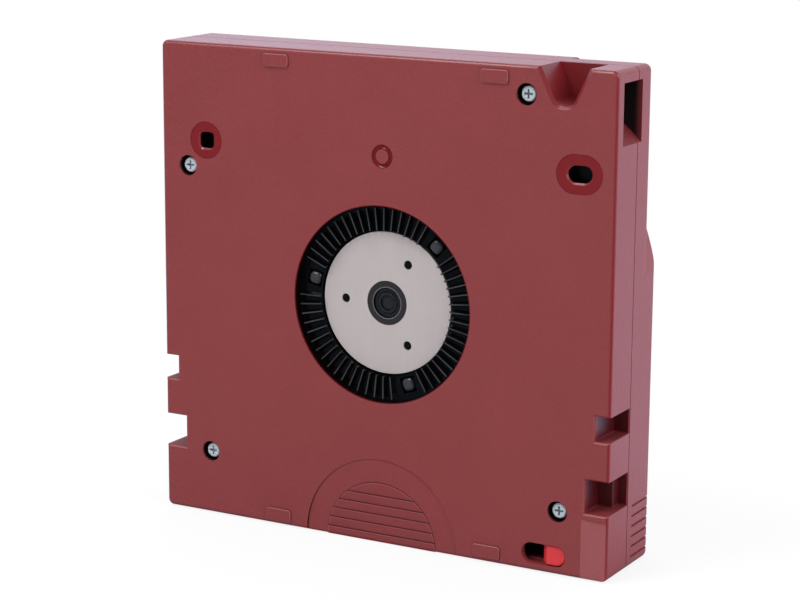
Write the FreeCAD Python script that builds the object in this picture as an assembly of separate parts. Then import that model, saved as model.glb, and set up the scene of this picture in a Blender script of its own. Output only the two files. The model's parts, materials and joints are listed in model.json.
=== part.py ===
import FreeCAD, Part

import math
import os

# Half-inch, single-reel data tape cartridge, as an assembly of its real pieces.
#
# Every place is written as the drawing of such a cartridge gives it, in millimetres:
#   across  from the left side of the case,
#   depth   from the bottom face into the case,
#   up      from the rear edge towards the leading edge, which enters the drive first.
# place() turns these into the part's own frame: X across, Y depth, Z up, with the origin in
# the middle of the rear edge, on which the cartridge stands.

Vector = FreeCAD.Vector
INTO_CASE = Vector(0, 1, 0)

# ---------------------------------------------------------------- case
CASE_ACROSS = 105.4
CASE_DEPTH = 21.5            # over the four stacking pads
CASE_UP = 102.0
PAD_RISE = 0.4               # pads above the bottom face
BODY_DEPTH = CASE_DEPTH - PAD_RISE
WALL = 1.5
PARTING = 9.6                # depth at which the two shells meet
CORNER_RADIUS = 1.3          # the four long corners of each shell
FACE_EDGE_RADIUS = 0.8       # round the bottom face
TOP_EDGE_RADIUS = 1.9        # round the top face
LEADING_EDGE_RADIUS = 4.0    # where the top face meets the leading face
FLOOR = WALL
ROOF = BODY_DEPTH - WALL
SEAM_WIDTH = 0.25            # groove along the parting line
SEAM_SINK = 0.2

# the corner of the top shell that is lower than the rest
STEP_DROP = 4.3
STEP_ACROSS = CASE_ACROSS - 17.1     # the lowered corner lies to the right of this
STEP_EDGE_RADIUS = 0.8
LOW_DEPTH = BODY_DEPTH - STEP_DROP

# ---------------------------------------------------------------- reel
REEL_ASIDE = 0.9             # the axis lies to the right of the case's middle
REEL_BELOW = 0.25            # and nearer to the rear edge
REEL_ACROSS = CASE_ACROSS / 2 + REEL_ASIDE
REEL_UP = CASE_UP / 2 - REEL_BELOW
OPENING_RADIUS = 20.55       # round opening in the bottom shell
OPENING_LIP_RADIUS = 23.0    # low seat round the opening, on which the reel rests
OPENING_LIP_RISE = 0.35
REST_GAP = 0.05
FLANGE_CLEAR = 2.0           # between the reel's rim and the nearest side wall
FLANGE_RADIUS = min(CASE_ACROSS, CASE_UP) / 2 - WALL - FLANGE_CLEAR
STEP_MARGIN = 5.1
STEP_RADIUS = FLANGE_RADIUS + STEP_MARGIN    # the lowered corner lies outside this arc about the axis
FLANGE_THICK = 1.1
TAPE_WIDTH = 12.65
TAPE_PLAY = 0.15             # each side of the tape, between the flanges
PACK_MARGIN = 3.0            # from the wound tape to the flanges' rim
PACK_RADIUS = FLANGE_RADIUS - PACK_MARGIN
HUB_RADIUS = 22.0
HUB_BORE = 19.6
SPIGOT_RADIUS = 20.8         # the upper flange is centred on this
SPIGOT_RISE = 0.6
FIT = 0.02                   # between pieces that are welded or pressed together
LOWER_FLANGE = FLOOR + OPENING_LIP_RISE + REST_GAP
PACK_START = LOWER_FLANGE + FLANGE_THICK + TAPE_PLAY
UPPER_FLANGE = PACK_START + TAPE_WIDTH + TAPE_PLAY

# drive teeth on the outside of the reel
DRIVE_TEETH = 60
DRIVE_RING_INNER = 15.3
DRIVE_RING_OUTER = 20.0
DRIVE_TIP = 1.15
DRIVE_ROOT = 2.35
TEETH_LEFT_OUT = 3           # at each foot of the spider
FOOT_ANGLES = (48.0, 168.0, 288.0)
WEB_OUTSIDE = 3.45           # the wall across the reel barrel
WEB_INSIDE = 5.3

# clutch plate, and what shows through its holes
PLATE_RADIUS = 14.85
PLATE_BORE = 4.65
PLATE_FACE = 2.65
STAKE_CIRCLE = 9.75
STAKE_ANGLES = (60.0, 180.0, 300.0)
STAKE_HOLE_RADIUS = 0.95
STAKE_SINK = 0.25
BOSS_CUP_RADIUS = 3.05
BOSS_CUP_SINK = 0.45
BOSS_HEXAGON = 2.25          # across the corners, halved
BOSS_HEXAGON_RISE = 0.25
BOSS_DIMPLE_RADIUS = 1.5
BOSS_DIMPLE_SINK = 0.35

# ---------------------------------------------------------------- brake, stored clear of the reel
BRAKE_TEETH = 36             # a multiple of 12, so that quarter and twelfth turns mesh too
BRAKE_INNER = 11.0
BRAKE_OUTER = 14.0
BRAKE_TOOTH = 1.0
BRAKE_ROOT_RISE = 0.4        # the reel's brake teeth stand on this low ring
BRAKE_CLEAR = 0.15           # between the tips, as stored
BRAKE_RADIUS = 17.2
BRAKE_THICK = 1.2
BRAKE_TIP = WEB_INSIDE + BRAKE_ROOT_RISE + BRAKE_TOOTH + BRAKE_CLEAR
BRAKE_FACE = BRAKE_TIP + BRAKE_TOOTH
BRAKE_COLLAR_RADIUS = 6.2
BRAKE_COLLAR_TOP = 14.0
BRAKE_TRAVEL_UP = 0.5
KEY_RADIUS = 4.6             # cross-shaped key of the top shell, in the brake's collar
KEY_WIDTH = 2.0
KEY_CLEAR = 0.25
BRAKE_TRAVEL_DOWN = BRAKE_TOOTH + BRAKE_CLEAR - 0.1

# spider: a ring with three feet, which lifts the brake by its rim
SPIDER_INNER = 15.4
SPIDER_OUTER = 19.1
SPIDER_THICK = 1.1
SPIDER_CLEAR = 0.15
FOOT_CIRCLE = 17.35
FOOT_RADIAL = 2.6
FOOT_WIDE = 2.6
FOOT_SLOT_CLEAR = 0.35
FOOT_TIP = 1.9

# brake spring
SPRING_WIRE = 0.9
SPRING_COIL_RADIUS = 7.6
SPRING_TURNS = 4.5
SPRING_SEAT_RADIUS = 8.5
SPRING_SEAT_WALL = 0.8
SPRING_SEAT_RISE = 1.2

# ---------------------------------------------------------------- features of the bottom face
SCREW_PLACES = ((6.5, CASE_UP - 26.2), (CASE_ACROSS - 19.45, CASE_UP - 5.7),
                (11.55, 13.75), (CASE_ACROSS - 11.0, 13.15))
SCREW_POST_RADIUS = 2.9
SCREW_RECESS_RADIUS = 2.2
SCREW_RECESS_DEPTH = 2.1
SCREW_HOLE_RADIUS = 1.1
SCREW_PILOT_DEPTH = 6.0
SCREW_SHANK_RADIUS = 0.95
SCREW_HEAD_RADIUS = 1.6
SCREW_HEAD_RISE = 1.2
SCREW_LENGTH = 11.5
DRIVE_SLOT_LONG = 1.9
DRIVE_SLOT_WIDE = 0.45
DRIVE_SLOT_DEEP = 0.7

LOCATING_UP = CASE_UP - 20.5
LOCATING_HOLE_ACROSS = 11.15
LOCATING_HOLE_SIZE = 3.4
LOCATING_HOLE_CORNER = 0.9
LOCATING_SLOT_ACROSS = CASE_ACROSS - 7.75
LOCATING_SLOT_LONG = 5.2
LOCATING_SLOT_WIDE = 3.4
LOCATING_DEEP = 3.2
LOCATING_BEVEL = 0.35
LAND_RADIUS = 3.95           # smooth land round the hole and the slot
LAND_SINK = 0.1
LAND_SLOT_LONG = 10.0

GATE_ASIDE = 1.1             # ring-shaped gate mark, right of the case's middle
GATE_ACROSS = CASE_ACROSS / 2 + GATE_ASIDE
GATE_UP = LOCATING_UP
GATE_RING_RADIUS = 1.95      # to the middle of its round groove
GATE_GROOVE_RADIUS = 0.5

PAD_PLACES = ((28.55, CASE_UP - 2.6), (CASE_ACROSS - 26.4, CASE_UP - 2.6),
              (28.85, 2.15), (CASE_ACROSS - 26.7, 2.3))
PAD_ACROSS = 6.1
PAD_UP = 2.75
PAD_CORNER_RADIUS = 0.6
PAD_EDGE_RADIUS = 0.25

GRIP_ACROSS = GATE_ACROSS    # thumb grip at the rear edge
GRIP_RADIUS = 17.9
GRIP_SINK = 0.35             # at the rear edge, running out to nothing
RIB_RADIUS = 12.85
RIB_COUNT = 5                # and one more, which ends at the ribs' own arc
RIB_PITCH = 2.07
RIB_FIRST = 1.8
RIB_RISE = 0.25

BEVEL_ACROSS = CASE_ACROSS - 5.7     # shallow bevel below the lower right notch
BEVEL_UP = 12.4
BEVEL_SINK = 0.45

# ---------------------------------------------------------------- notches and pocket
NOTCH_WALL = 1.2
UPPER_NOTCH = (3.2, 28.7, 33.9)      # how far in, from, to
LOWER_NOTCH = (5.1, 13.7, 20.7)
LOWER_NOTCH_SHELF = 2.0              # how far in beyond the shelf's depth
LOWER_NOTCH_SHELF_DEPTH = 6.5
NOTCH_BEVEL = 0.35                   # round the notches' mouths
VEE_ACROSS = CASE_ACROSS - 11.4
VEE_MOUTH = 10.5
VEE_FLOOR = 3.2
VEE_UP = CASE_UP - 7.6
VEE_DEEP = 9.0
VEE_CORNER_RADIUS = 2.2              # its flanks run into its floor in a round
VEE_BEVEL = 0.6
POCKET_ACROSS = CASE_ACROSS - 6.1    # how far in the side pocket reaches
POCKET_DEPTHS = (2.7, 11.5)
POCKET_UPS = (CASE_UP - 14.9, CASE_UP - 2.6)
POCKET_RAMP_RISE = 5.2

# side grip grooves near the rear edge
GROOVE_COUNT = 6
GROOVE_FIRST = 2.3
GROOVE_PITCH = 2.13
GROOVE_WIDTH = 0.55
GROOVE_SINK = 0.35
GROOVE_START = 11.9

LABEL_SINK = 0.3             # recess for a label on the rear edge, left bare
LABEL_MARGIN_ACROSS = 9.0
LABEL_MARGIN_DEPTH = 3.4

# ---------------------------------------------------------------- write-protect tab
TAB_SLOT_MIDDLE = CASE_ACROSS - 13.9
TAB_SLOT_LONG = 9.8
TAB_SLOT_UP = 3.7
TAB_SLOT_WIDE = 4.4
TAB_LONG = 4.3
TAB_CLEAR = 0.15
TAB_FACE = 0.35
TAB_PLATE_THICK = 1.0
TAB_PLATE_EXTRA = 1.0
TAB_PLATE_CLEAR = 0.1
TAB_TRAVEL = 3.8
TAB_FLANK_LONG = 1.0         # the slope at its left, which leads a finger to it
TAB_FLANK_WIDE = 2.4
TAB_RAIL_THICK = 1.2         # rails that keep the plate against the floor
TAB_RAIL_HOLD = 1.1          # how far the upper one reaches over the plate
TAB_LIP_HOLD = 0.5           # and the lip on the rear wall

# ---------------------------------------------------------------- leader pin and its door
PIN_ACROSS = 10.3
PIN_UP = CASE_UP - 9.0
PIN_RADIUS = 1.25
PIN_HEAD_RADIUS = 2.3
PIN_HEAD_THICK = 1.2
PIN_END_CLEAR = 0.4
SEAT_CLEAR = 0.3
SEAT_WALL = 1.0
SEAT_RISE = 1.3
CLIP_RADIUS = 2.05
CLIP_CLEAR = 0.03
CLIP_SLOT = 0.6
LEADER_THICK = 0.25
LEADER_END_CLEAR = 0.3
LEAF_THICK = 0.3
LEAF_WIDE = 1.0
LEAF_CLEAR = 0.05
LEAF_POST_ACROSS = 16.0
LEAF_POST = 2.4

DOOR_ACROSS = 1.7
DOOR_THICK = 1.2
DOOR_UPS = (CASE_UP - 16.1, CASE_UP - 1.9)
DOOR_EDGE_CLEAR = 0.25
DOOR_TRAVEL = 10.5
DOOR_OPENING_UPS = (CASE_UP - 15.0, CASE_UP - 2.7)
DOOR_OPENING_DEPTHS = (3.0, BODY_DEPTH - 2.9)
DOOR_FINGER_WIDE = 1.0
DOOR_FINGER_LONG = 5.5
DOOR_FINGER_GAP = 0.4        # between the finger and the end of the opening
DOOR_FINGER_SINK = 0.35      # below the side of the case
RAIL_CLEAR = 0.3
RAIL_WIDE = 0.8
RAIL_RISE = 1.3
RAIL_LEAD = 5.4              # how far the rails run on past the open door
RAIL_UPS = (DOOR_UPS[0] - DOOR_TRAVEL - RAIL_LEAD, CASE_UP - WALL)

DOOR_SPRING_DEPTH = 7.5
DOOR_SPRING_WIRE = 0.35
DOOR_SPRING_COIL_RADIUS = 0.7
DOOR_SPRING_TURNS = 9
DOOR_SPRING_SEAT_UP = CASE_UP - 40.0
DOOR_SPRING_SEAT_THICK = 1.5
DOOR_SPRING_SEAT_ACROSS = 4.2

# ---------------------------------------------------------------- memory board
BOARD_MIDDLE = (6.0, 6.0)
BOARD_LONG = 9.5
BOARD_THICK = 0.6
BOARD_DEPTHS = (3.0, 15.0)
CHIP_SIZE = 4.0
CHIP_THICK = 0.9
BOARD_RAIL = 1.6

# ---------------------------------------------------------------- shared by several pieces
OUTSIDE = 1.0                # how far cuts run past a surface
TOOTH_ROOT_SHARE = 0.52      # of a face gear's pitch
TOOTH_TIP_SHARE = 0.12
PLATE_CLEAR = 0.1
FOOT_EDGE_RADIUS = 0.8
SPRING_END_CLEAR = 0.05
WIRE_SIDES = 8               # the springs' wire is drawn with this many flats
SPRING_SIDE_CLEAR = 0.2
SEAT_OPEN = 1.6
LEAF_ARM = 3.0
LEAF_TAIL = 1.6
TAB_EDGE_RADIUS = 0.3
BOARD_CLEAR = 0.15
BOARD_SHOE_WALL = 0.8
LOCATING_WALL = 1.2
REEL = (REEL_ACROSS, REEL_UP)
PIN = (PIN_ACROSS, PIN_UP)
GATE = (GATE_ACROSS, GATE_UP)
TAB_SLOT = (TAB_SLOT_MIDDLE, TAB_SLOT_UP)
LOCATING_HOLE = (LOCATING_HOLE_ACROSS, LOCATING_UP)
LOCATING_SLOT = (LOCATING_SLOT_ACROSS, LOCATING_UP)


# ================================================================ helpers
def place(across, depth, up):
    """A point of the drawing, in the part's own frame."""
    return Vector(across - CASE_ACROSS / 2, depth + PAD_RISE - CASE_DEPTH / 2, up)


def block(across, depth, up):
    """A box between pairs of distances."""
    low = place(across[0], depth[0], up[0])
    high = place(across[1], depth[1], up[1])
    size = high - low
    return Part.makeBox(size.x, size.y, size.z, low)


def prism(points, depth):
    """A straight-sided piece with the outline points, given as (across, up)."""
    corners = [place(across, depth[0], up) for across, up in points]
    return profile(corners, depth[1] - depth[0], INTO_CASE)


def closed(points):
    return Part.makePolygon(points + points[:1])


def profile(points, along, normal):
    """A closed outline of points in the part's frame, drawn out along one direction."""
    return Part.Face(closed(points)).extrude(normal * along)


def rod(middle, radius, depth):
    """A cylinder that runs into the case."""
    return Part.makeCylinder(radius, depth[1] - depth[0], place(middle[0], depth[0], middle[1]), INTO_CASE)


def tube(middle, inner, outer, depth):
    return rod(middle, outer, depth).cut(rod(middle, inner, depth))


def rounded_wire(middle, long, wide, corner, depth):
    """A rectangle with round corners; a slot where the corners are half its width."""
    reach, rise = long / 2 - corner, wide / 2 - corner
    edges = []
    last = None
    for quarter, (side, end) in enumerate(((1, 1), (-1, 1), (-1, -1), (1, -1))):
        centre = (middle[0] + side * reach, middle[1] + end * rise)
        start, half, finish = [place(p[0], depth, p[1]) for p in
                               (polar(corner, 90 * quarter + step, centre) for step in (0, 45, 90))]
        if last is not None and (start - last).Length > 1e-6:
            edges.append(Part.makeLine(last, start))
        edges.append(Part.Arc(start, half, finish).toShape())
        last = finish
    first = edges[0].Vertexes[0].Point
    if (first - last).Length > 1e-6:
        edges.append(Part.makeLine(last, first))
    return Part.Wire(edges)


def rounded_outline(corners, depth):
    """A closed wire through corners given as (across, up, radius), sharp where the radius is 0."""
    points = [place(across, depth, up) for across, up, radius in corners]
    arcs, ends = [], []
    for index, corner in enumerate(points):
        before = (points[index - 1] - corner).normalize()
        after = (points[(index + 1) % len(points)] - corner).normalize()
        half = before.getAngle(after) / 2
        radius = corners[index][2]
        run = radius / math.tan(half)
        ends.append((corner + before * run, corner + after * run))
        if radius:
            inward = (before + after).normalize()
            nearest = corner + inward * (radius / math.sin(half) - radius)
            arcs.append(Part.Arc(ends[-1][0], nearest, ends[-1][1]).toShape())
        else:
            arcs.append(None)
    edges = []
    for index, arc in enumerate(arcs):
        edges += [arc] if arc else []
        edges.append(Part.makeLine(ends[index][1], ends[(index + 1) % len(ends)][0]))
    return Part.Wire(edges)


def rounded_plate(middle, long, wide, corner, depth):
    face = Part.Face(rounded_wire(middle, long, wide, corner, depth[0]))
    return face.extrude(INTO_CASE * (depth[1] - depth[0]))


def polar(radius, degrees, middle):
    angle = math.radians(degrees)
    return middle[0] + radius * math.cos(angle), middle[1] + radius * math.sin(angle)


def is_along(edge, axis):
    """Whether a straight edge runs along one axis of the frame."""
    if len(edge.Vertexes) != 2:
        return False
    run = edge.Vertexes[1].Point - edge.Vertexes[0].Point
    others = [abs(value) for index, value in enumerate(run) if index != axis]
    return max(others) < 1e-6 and abs(run[axis]) > 1e-6


def is_at_depth(edge, depth):
    level = place(0, depth, 0).y
    return abs(edge.BoundBox.YMin - level) < 1e-6 and abs(edge.BoundBox.YMax - level) < 1e-6


def round_where(shape, radius, test):
    return shape.makeFillet(radius, [edge for edge in shape.Edges if test(edge)])


def join(first, others):
    return first.fuse(list(others)).removeSplitter()


def cut_each(shape, tools):
    """Cut by one tool after another, which copes with tools that overlap."""
    for tool in tools:
        shape = shape.cut(tool)
    return shape


def turn_about(shape, middle, degrees):
    """A copy turned about an axis that runs into the case, from across towards up."""
    copy = shape.copy()
    copy.rotate(place(middle[0], 0, middle[1]), INTO_CASE, -degrees)
    return copy


def face_gear(count, inner, outer, root, tip, start, keep=lambda degrees: True):
    """Radial teeth of a face gear on the reel's axis, the first at the angle start."""
    pitch = 360.0 / count

    def section(radius):
        points = []
        for depth, share in ((root, TOOTH_ROOT_SHARE), (tip, TOOTH_TIP_SHARE)):
            ends = [polar(radius, side * pitch * share / 2, REEL) for side in (-1, 1)]
            ends = ends if depth == root else ends[::-1]
            points += [place(across, depth, up) for across, up in ends]
        return Part.makePolygon(points + points[:1])

    tooth = Part.makeLoft([section(inner), section(outer)], True, True)
    angles = [start + pitch * index for index in range(count)]
    return [turn_about(tooth, REEL, angle) for angle in angles if keep(angle)]


# ================================================================ outside and inside of the case
def case_slab(inset, depth):
    """A slice right across the case, with the case's corners."""
    slab = block((inset, CASE_ACROSS - inset), depth, (inset, CASE_UP - inset))
    return round_where(slab, CORNER_RADIUS, lambda edge: is_along(edge, 1))


def full_depth_area(inset, depth, edge_radius=0):
    """Where the case has its full depth: left of the step, inside the step's arc, or in the rear half."""
    step = STEP_ACROSS - inset
    disc = rod(REEL, STEP_RADIUS - inset, depth)
    left = block((-OUTSIDE, step), depth, (-OUTSIDE, CASE_UP + OUTSIDE))
    rear = block((-OUTSIDE, CASE_ACROSS + OUTSIDE), depth, (-OUTSIDE, REEL_UP))
    if edge_radius:
        at_step = place(step, 0, 0).x
        disc = round_where(disc, edge_radius, lambda edge: is_at_depth(edge, depth[1]))
        left = round_where(left, edge_radius, lambda edge: is_at_depth(edge, depth[1])
                           and edge.BoundBox.XMin > at_step - 1e-3)
    return disc.fuse([left, rear])


def bottom_outside():
    body = case_slab(0, (0, PARTING))
    return round_where(body, FACE_EDGE_RADIUS, lambda edge: is_at_depth(edge, 0))


def past_leading_edge(inset):
    """What lies outside the round edge between the top face and the leading face."""
    start = place(-OUTSIDE, BODY_DEPTH - LEADING_EDGE_RADIUS, CASE_UP - LEADING_EDGE_RADIUS)
    across = CASE_ACROSS + 2 * OUTSIDE
    room = LEADING_EDGE_RADIUS + OUTSIDE
    core = Part.makeCylinder(LEADING_EDGE_RADIUS - inset, across, start, Vector(1, 0, 0))
    return Part.makeBox(across, room, room, start).cut(core)


def top_outside():
    depth = (PARTING, BODY_DEPTH)
    full = round_where(case_slab(0, depth), TOP_EDGE_RADIUS, lambda edge: is_at_depth(edge, BODY_DEPTH))
    raised = full.common(full_depth_area(0, depth, STEP_EDGE_RADIUS)).cut(past_leading_edge(0))
    low = block((STEP_ACROSS - OUTSIDE, CASE_ACROSS), (PARTING, LOW_DEPTH), (REEL_UP, CASE_UP))
    corner = place(CASE_ACROSS - 2 * CORNER_RADIUS, 0, CASE_UP - 2 * CORNER_RADIUS)
    low = round_where(low, CORNER_RADIUS, lambda edge: is_along(edge, 1)
                      and edge.BoundBox.XMin > corner.x and edge.BoundBox.ZMin > corner.z)
    low = round_where(low, TOP_EDGE_RADIUS, lambda edge: is_at_depth(edge, LOW_DEPTH)
                      and edge.BoundBox.XMax > corner.x and edge.BoundBox.ZMax > corner.z)
    return join(raised, [low])


def cavity():
    """The whole inside of the case, through both shells."""
    across, up = (WALL, CASE_ACROSS - WALL), (WALL, CASE_UP - WALL)
    low = block(across, (FLOOR, LOW_DEPTH - WALL), up)
    deep = (PARTING, ROOF)
    high = block(across, deep, up).common(full_depth_area(WALL, deep)).cut(past_leading_edge(WALL))
    return join(low, [high])


# ---------------------------------------------------------------- notches, vee and pocket
def side_pair(reach, depth, up):
    """Blocks that reach in from the left side and from the right side."""
    return [block((-OUTSIDE, reach), depth, up),
            block((CASE_ACROSS - reach, CASE_ACROSS + OUTSIDE), depth, up)]


def side_notches():
    reach, low, high = UPPER_NOTCH
    notches = side_pair(reach, (-OUTSIDE, PARTING), (low, high))
    reach, low, high = LOWER_NOTCH
    notches += side_pair(reach, (-OUTSIDE, LOWER_NOTCH_SHELF_DEPTH), (low, high))
    notches += side_pair(LOWER_NOTCH_SHELF, (-OUTSIDE, PARTING), (low, high))
    return notches + notch_mouths(*UPPER_NOTCH) + notch_mouths(*LOWER_NOTCH)


def notch_mouths(reach, low, high):
    """The bevel round the mouth of a notch in either side."""
    mouths = []
    for side, inward in ((0, 1), (CASE_ACROSS, -1)):
        outlines = []
        for grow, depth in ((NOTCH_BEVEL, 0), (0, NOTCH_BEVEL)):
            ends = (side - inward * OUTSIDE, side + inward * (reach + grow))
            ups = (low - grow, high + grow)
            outlines.append(closed([place(ends[0], depth, ups[0]), place(ends[1], depth, ups[0]),
                                    place(ends[1], depth, ups[1]), place(ends[0], depth, ups[1])]))
        mouths.append(Part.makeLoft(outlines, True, True))
    return mouths


def side_notch_walls():
    reach, low, high = UPPER_NOTCH
    grown = (low - NOTCH_WALL, high + NOTCH_WALL)
    walls = side_pair(reach + NOTCH_WALL, (0, PARTING), grown)
    reach, low, high = LOWER_NOTCH
    grown = (low - NOTCH_WALL, high + NOTCH_WALL)
    walls += side_pair(reach + NOTCH_WALL, (0, LOWER_NOTCH_SHELF_DEPTH + NOTCH_WALL), grown)
    walls += side_pair(LOWER_NOTCH_SHELF + NOTCH_WALL, (0, PARTING), grown)
    return walls


def vee_outline(grow, depth):
    """The V notch's outline at a depth, grown all round."""
    slope = (VEE_MOUTH - VEE_FLOOR) / 2 / (CASE_UP - VEE_UP)
    low, high = VEE_UP - grow, CASE_UP + OUTSIDE
    at_low = VEE_FLOOR / 2 + grow
    at_high = at_low + slope * (high - low)
    radius = VEE_CORNER_RADIUS + grow
    return rounded_outline([(VEE_ACROSS - at_high, high, 0), (VEE_ACROSS - at_low, low, radius),
                            (VEE_ACROSS + at_low, low, radius), (VEE_ACROSS + at_high, high, 0)], depth)


def vee(grows, depth):
    """The V notch in the leading edge, grown by so much at either end of its depth."""
    return Part.makeLoft([vee_outline(grow, level) for grow, level in zip(grows, depth)], True, True)


def side_pocket():
    low, high = POCKET_UPS
    outer = CASE_ACROSS + OUTSIDE
    return prism([(outer, low), (outer, high), (POCKET_ACROSS, high),
                  (POCKET_ACROSS, low + POCKET_RAMP_RISE), (CASE_ACROSS, low)], POCKET_DEPTHS)


def side_pocket_walls():
    across = (POCKET_ACROSS - NOTCH_WALL, CASE_ACROSS - WALL)
    depth = (POCKET_DEPTHS[0] - NOTCH_WALL, POCKET_DEPTHS[1] + NOTCH_WALL)
    up = (POCKET_UPS[0] - NOTCH_WALL, POCKET_UPS[1] + NOTCH_WALL)
    return block(across, depth, up)


def door_opening():
    return block((-OUTSIDE, WALL), DOOR_OPENING_DEPTHS, DOOR_OPENING_UPS)


def label_recess():
    across = (LABEL_MARGIN_ACROSS, CASE_ACROSS - LABEL_MARGIN_ACROSS)
    depth = (LABEL_MARGIN_DEPTH, BODY_DEPTH - LABEL_MARGIN_DEPTH)
    return block(across, depth, (-OUTSIDE, LABEL_SINK))


# ---------------------------------------------------------------- what both shells hold
def door_rail(depth):
    start = DOOR_ACROSS + DOOR_THICK + RAIL_CLEAR
    return block((start, start + RAIL_WIDE), depth, RAIL_UPS)


def pin_seat(depth):
    """A wall round the far side of the pin's head; the pin leaves towards the door."""
    inner = PIN_HEAD_RADIUS + SEAT_CLEAR
    seat = tube(PIN, inner, inner + SEAT_WALL, depth)
    outer = inner + SEAT_WALL + OUTSIDE
    keep = block((PIN_ACROSS, PIN_ACROSS + outer), depth, (PIN_UP - outer, PIN_UP + SEAT_OPEN))
    return seat.common(keep)


def leaf_post(depth):
    up = leaf_bend()[1]
    across = (LEAF_POST_ACROSS, LEAF_POST_ACROSS + LEAF_POST)
    return block(across, depth, (up - LEAF_POST / 2, up + LEAF_POST / 2))


# ================================================================ bottom shell
def bottom_inner_walls():
    walls = [rod(spot, SCREW_POST_RADIUS, (0, PARTING)) for spot in SCREW_PLACES]
    walls += side_notch_walls()
    walls.append(vee((NOTCH_WALL, NOTCH_WALL), (0, PARTING)))
    walls.append(side_pocket_walls())
    walls.append(rod(LOCATING_HOLE, LOCATING_HOLE_SIZE / 2 + LOCATING_WALL, (0, LOCATING_DEEP + WALL)))
    walls.append(rounded_plate(LOCATING_SLOT, LOCATING_SLOT_LONG + 2 * LOCATING_WALL,
                               LOCATING_SLOT_WIDE + 2 * LOCATING_WALL,
                               LOCATING_SLOT_WIDE / 2 + LOCATING_WALL, (0, LOCATING_DEEP + WALL)))
    walls.append(rod(REEL, OPENING_LIP_RADIUS, (0, FLOOR + OPENING_LIP_RISE)))
    walls.append(door_rail((FLOOR, FLOOR + RAIL_RISE)))
    walls.append(pin_seat((FLOOR, FLOOR + SEAT_RISE)))
    walls.append(leaf_post((FLOOR, FLOOR + PIN_END_CLEAR + PIN_HEAD_THICK)))
    walls.append(door_spring_seat())
    walls += tab_rails()
    walls.append(board_shoe())
    return walls


def door_spring_seat():
    up = (DOOR_SPRING_SEAT_UP - DOOR_SPRING_SEAT_THICK, DOOR_SPRING_SEAT_UP)
    return block((WALL, DOOR_SPRING_SEAT_ACROSS), (FLOOR, PARTING), up)


def tab_rails():
    """A rail above the write-protect tab's plate and a lip below it, which keep it against the floor."""
    under = FLOOR + TAB_PLATE_CLEAR + TAB_PLATE_THICK + TAB_PLATE_CLEAR
    top = under + TAB_RAIL_THICK
    leg = tab_plate_up()[1] + TAB_CLEAR
    left, right = tab_plate_across()
    across = (left - TAB_TRAVEL - TAB_CLEAR, right + TAB_CLEAR)
    return [block(across, (FLOOR, top), (leg, leg + TAB_RAIL_THICK)),
            block(across, (under, top), (leg - TAB_RAIL_HOLD, leg)),
            block(across, (under, top), (WALL, WALL + TAB_LIP_HOLD))]


def board_shoe():
    """A slotted foot that holds the memory board's edge."""
    middle_across, middle_up = BOARD_MIDDLE
    half = BOARD_THICK / 2 + BOARD_CLEAR
    across = (middle_across - BOARD_LONG / 4, middle_across + BOARD_LONG / 4)
    shoe = block(across, (FLOOR, BOARD_DEPTHS[0] + BOARD_RAIL),
                 (middle_up - half - BOARD_SHOE_WALL, middle_up + half + BOARD_SHOE_WALL))
    slot = block((across[0] - OUTSIDE, across[1] + OUTSIDE),
                 (BOARD_DEPTHS[0] - BOARD_CLEAR / 2, BOARD_DEPTHS[1]),
                 (middle_up - half, middle_up + half))
    return turn_about(shoe.cut(slot), BOARD_MIDDLE, -45)


def flared_hole(middle, long, wide, corner):
    """A blind hole with a bevelled mouth, in its smooth land."""
    mouth = rounded_wire(middle, long + 2 * LOCATING_BEVEL, wide + 2 * LOCATING_BEVEL,
                         corner + LOCATING_BEVEL, LAND_SINK)
    throat = rounded_wire(middle, long, wide, corner, LAND_SINK + LOCATING_BEVEL)
    bevel = Part.makeLoft([mouth, throat], True, True)
    hole = rounded_plate(middle, long, wide, corner, (0, LOCATING_DEEP))
    return [bevel, hole]


def locating_cuts():
    cuts = flared_hole(LOCATING_HOLE, LOCATING_HOLE_SIZE, LOCATING_HOLE_SIZE, LOCATING_HOLE_CORNER)
    cuts += flared_hole(LOCATING_SLOT, LOCATING_SLOT_LONG, LOCATING_SLOT_WIDE, LOCATING_SLOT_WIDE / 2)
    cuts.append(rod(LOCATING_HOLE, LAND_RADIUS, (-OUTSIDE, LAND_SINK)))
    cuts.append(rounded_plate(LOCATING_SLOT, LAND_SLOT_LONG, 2 * LAND_RADIUS, LAND_RADIUS,
                              (-OUTSIDE, LAND_SINK)))
    return cuts


def scoop_depth(up):
    """How far the thumb grip's floor lies below the face, at a distance from the rear edge."""
    return GRIP_SINK * (1 - up / GRIP_RADIUS)


def grip_wedge(ups, depths):
    """What lies outside a sloping line in (up, depth), right across the case."""
    start, end = ups
    points = [place(0, -OUTSIDE, start), place(0, depths[0], start),
              place(0, depths[1], end), place(0, -OUTSIDE, end)]
    return profile(points, CASE_ACROSS, Vector(1, 0, 0))


def thumb_grip():
    """The scoop to cut at the rear edge, and the saw-toothed ribs that stand in it."""
    ups = (-OUTSIDE, GRIP_RADIUS)
    centre = (GRIP_ACROSS, 0)
    scoop = grip_wedge(ups, [scoop_depth(up) for up in ups])
    scoop = scoop.common(rod(centre, GRIP_RADIUS, (-OUTSIDE, WALL)))
    lines = [0] + [RIB_FIRST + RIB_PITCH * index for index in range(RIB_COUNT)] + [RIB_RADIUS]
    ribs = []
    for start, end in zip(lines, lines[1:]):
        points = [place(0, scoop_depth(start), start), place(0, scoop_depth(end) - RIB_RISE, end),
                  place(0, WALL / 2, end), place(0, WALL / 2, start)]
        ribs.append(profile(points, CASE_ACROSS, Vector(1, 0, 0)))
    ribs = join(ribs[0], ribs[1:]).common(rod(centre, RIB_RADIUS, (-OUTSIDE, WALL)))
    return scoop, ribs


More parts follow.
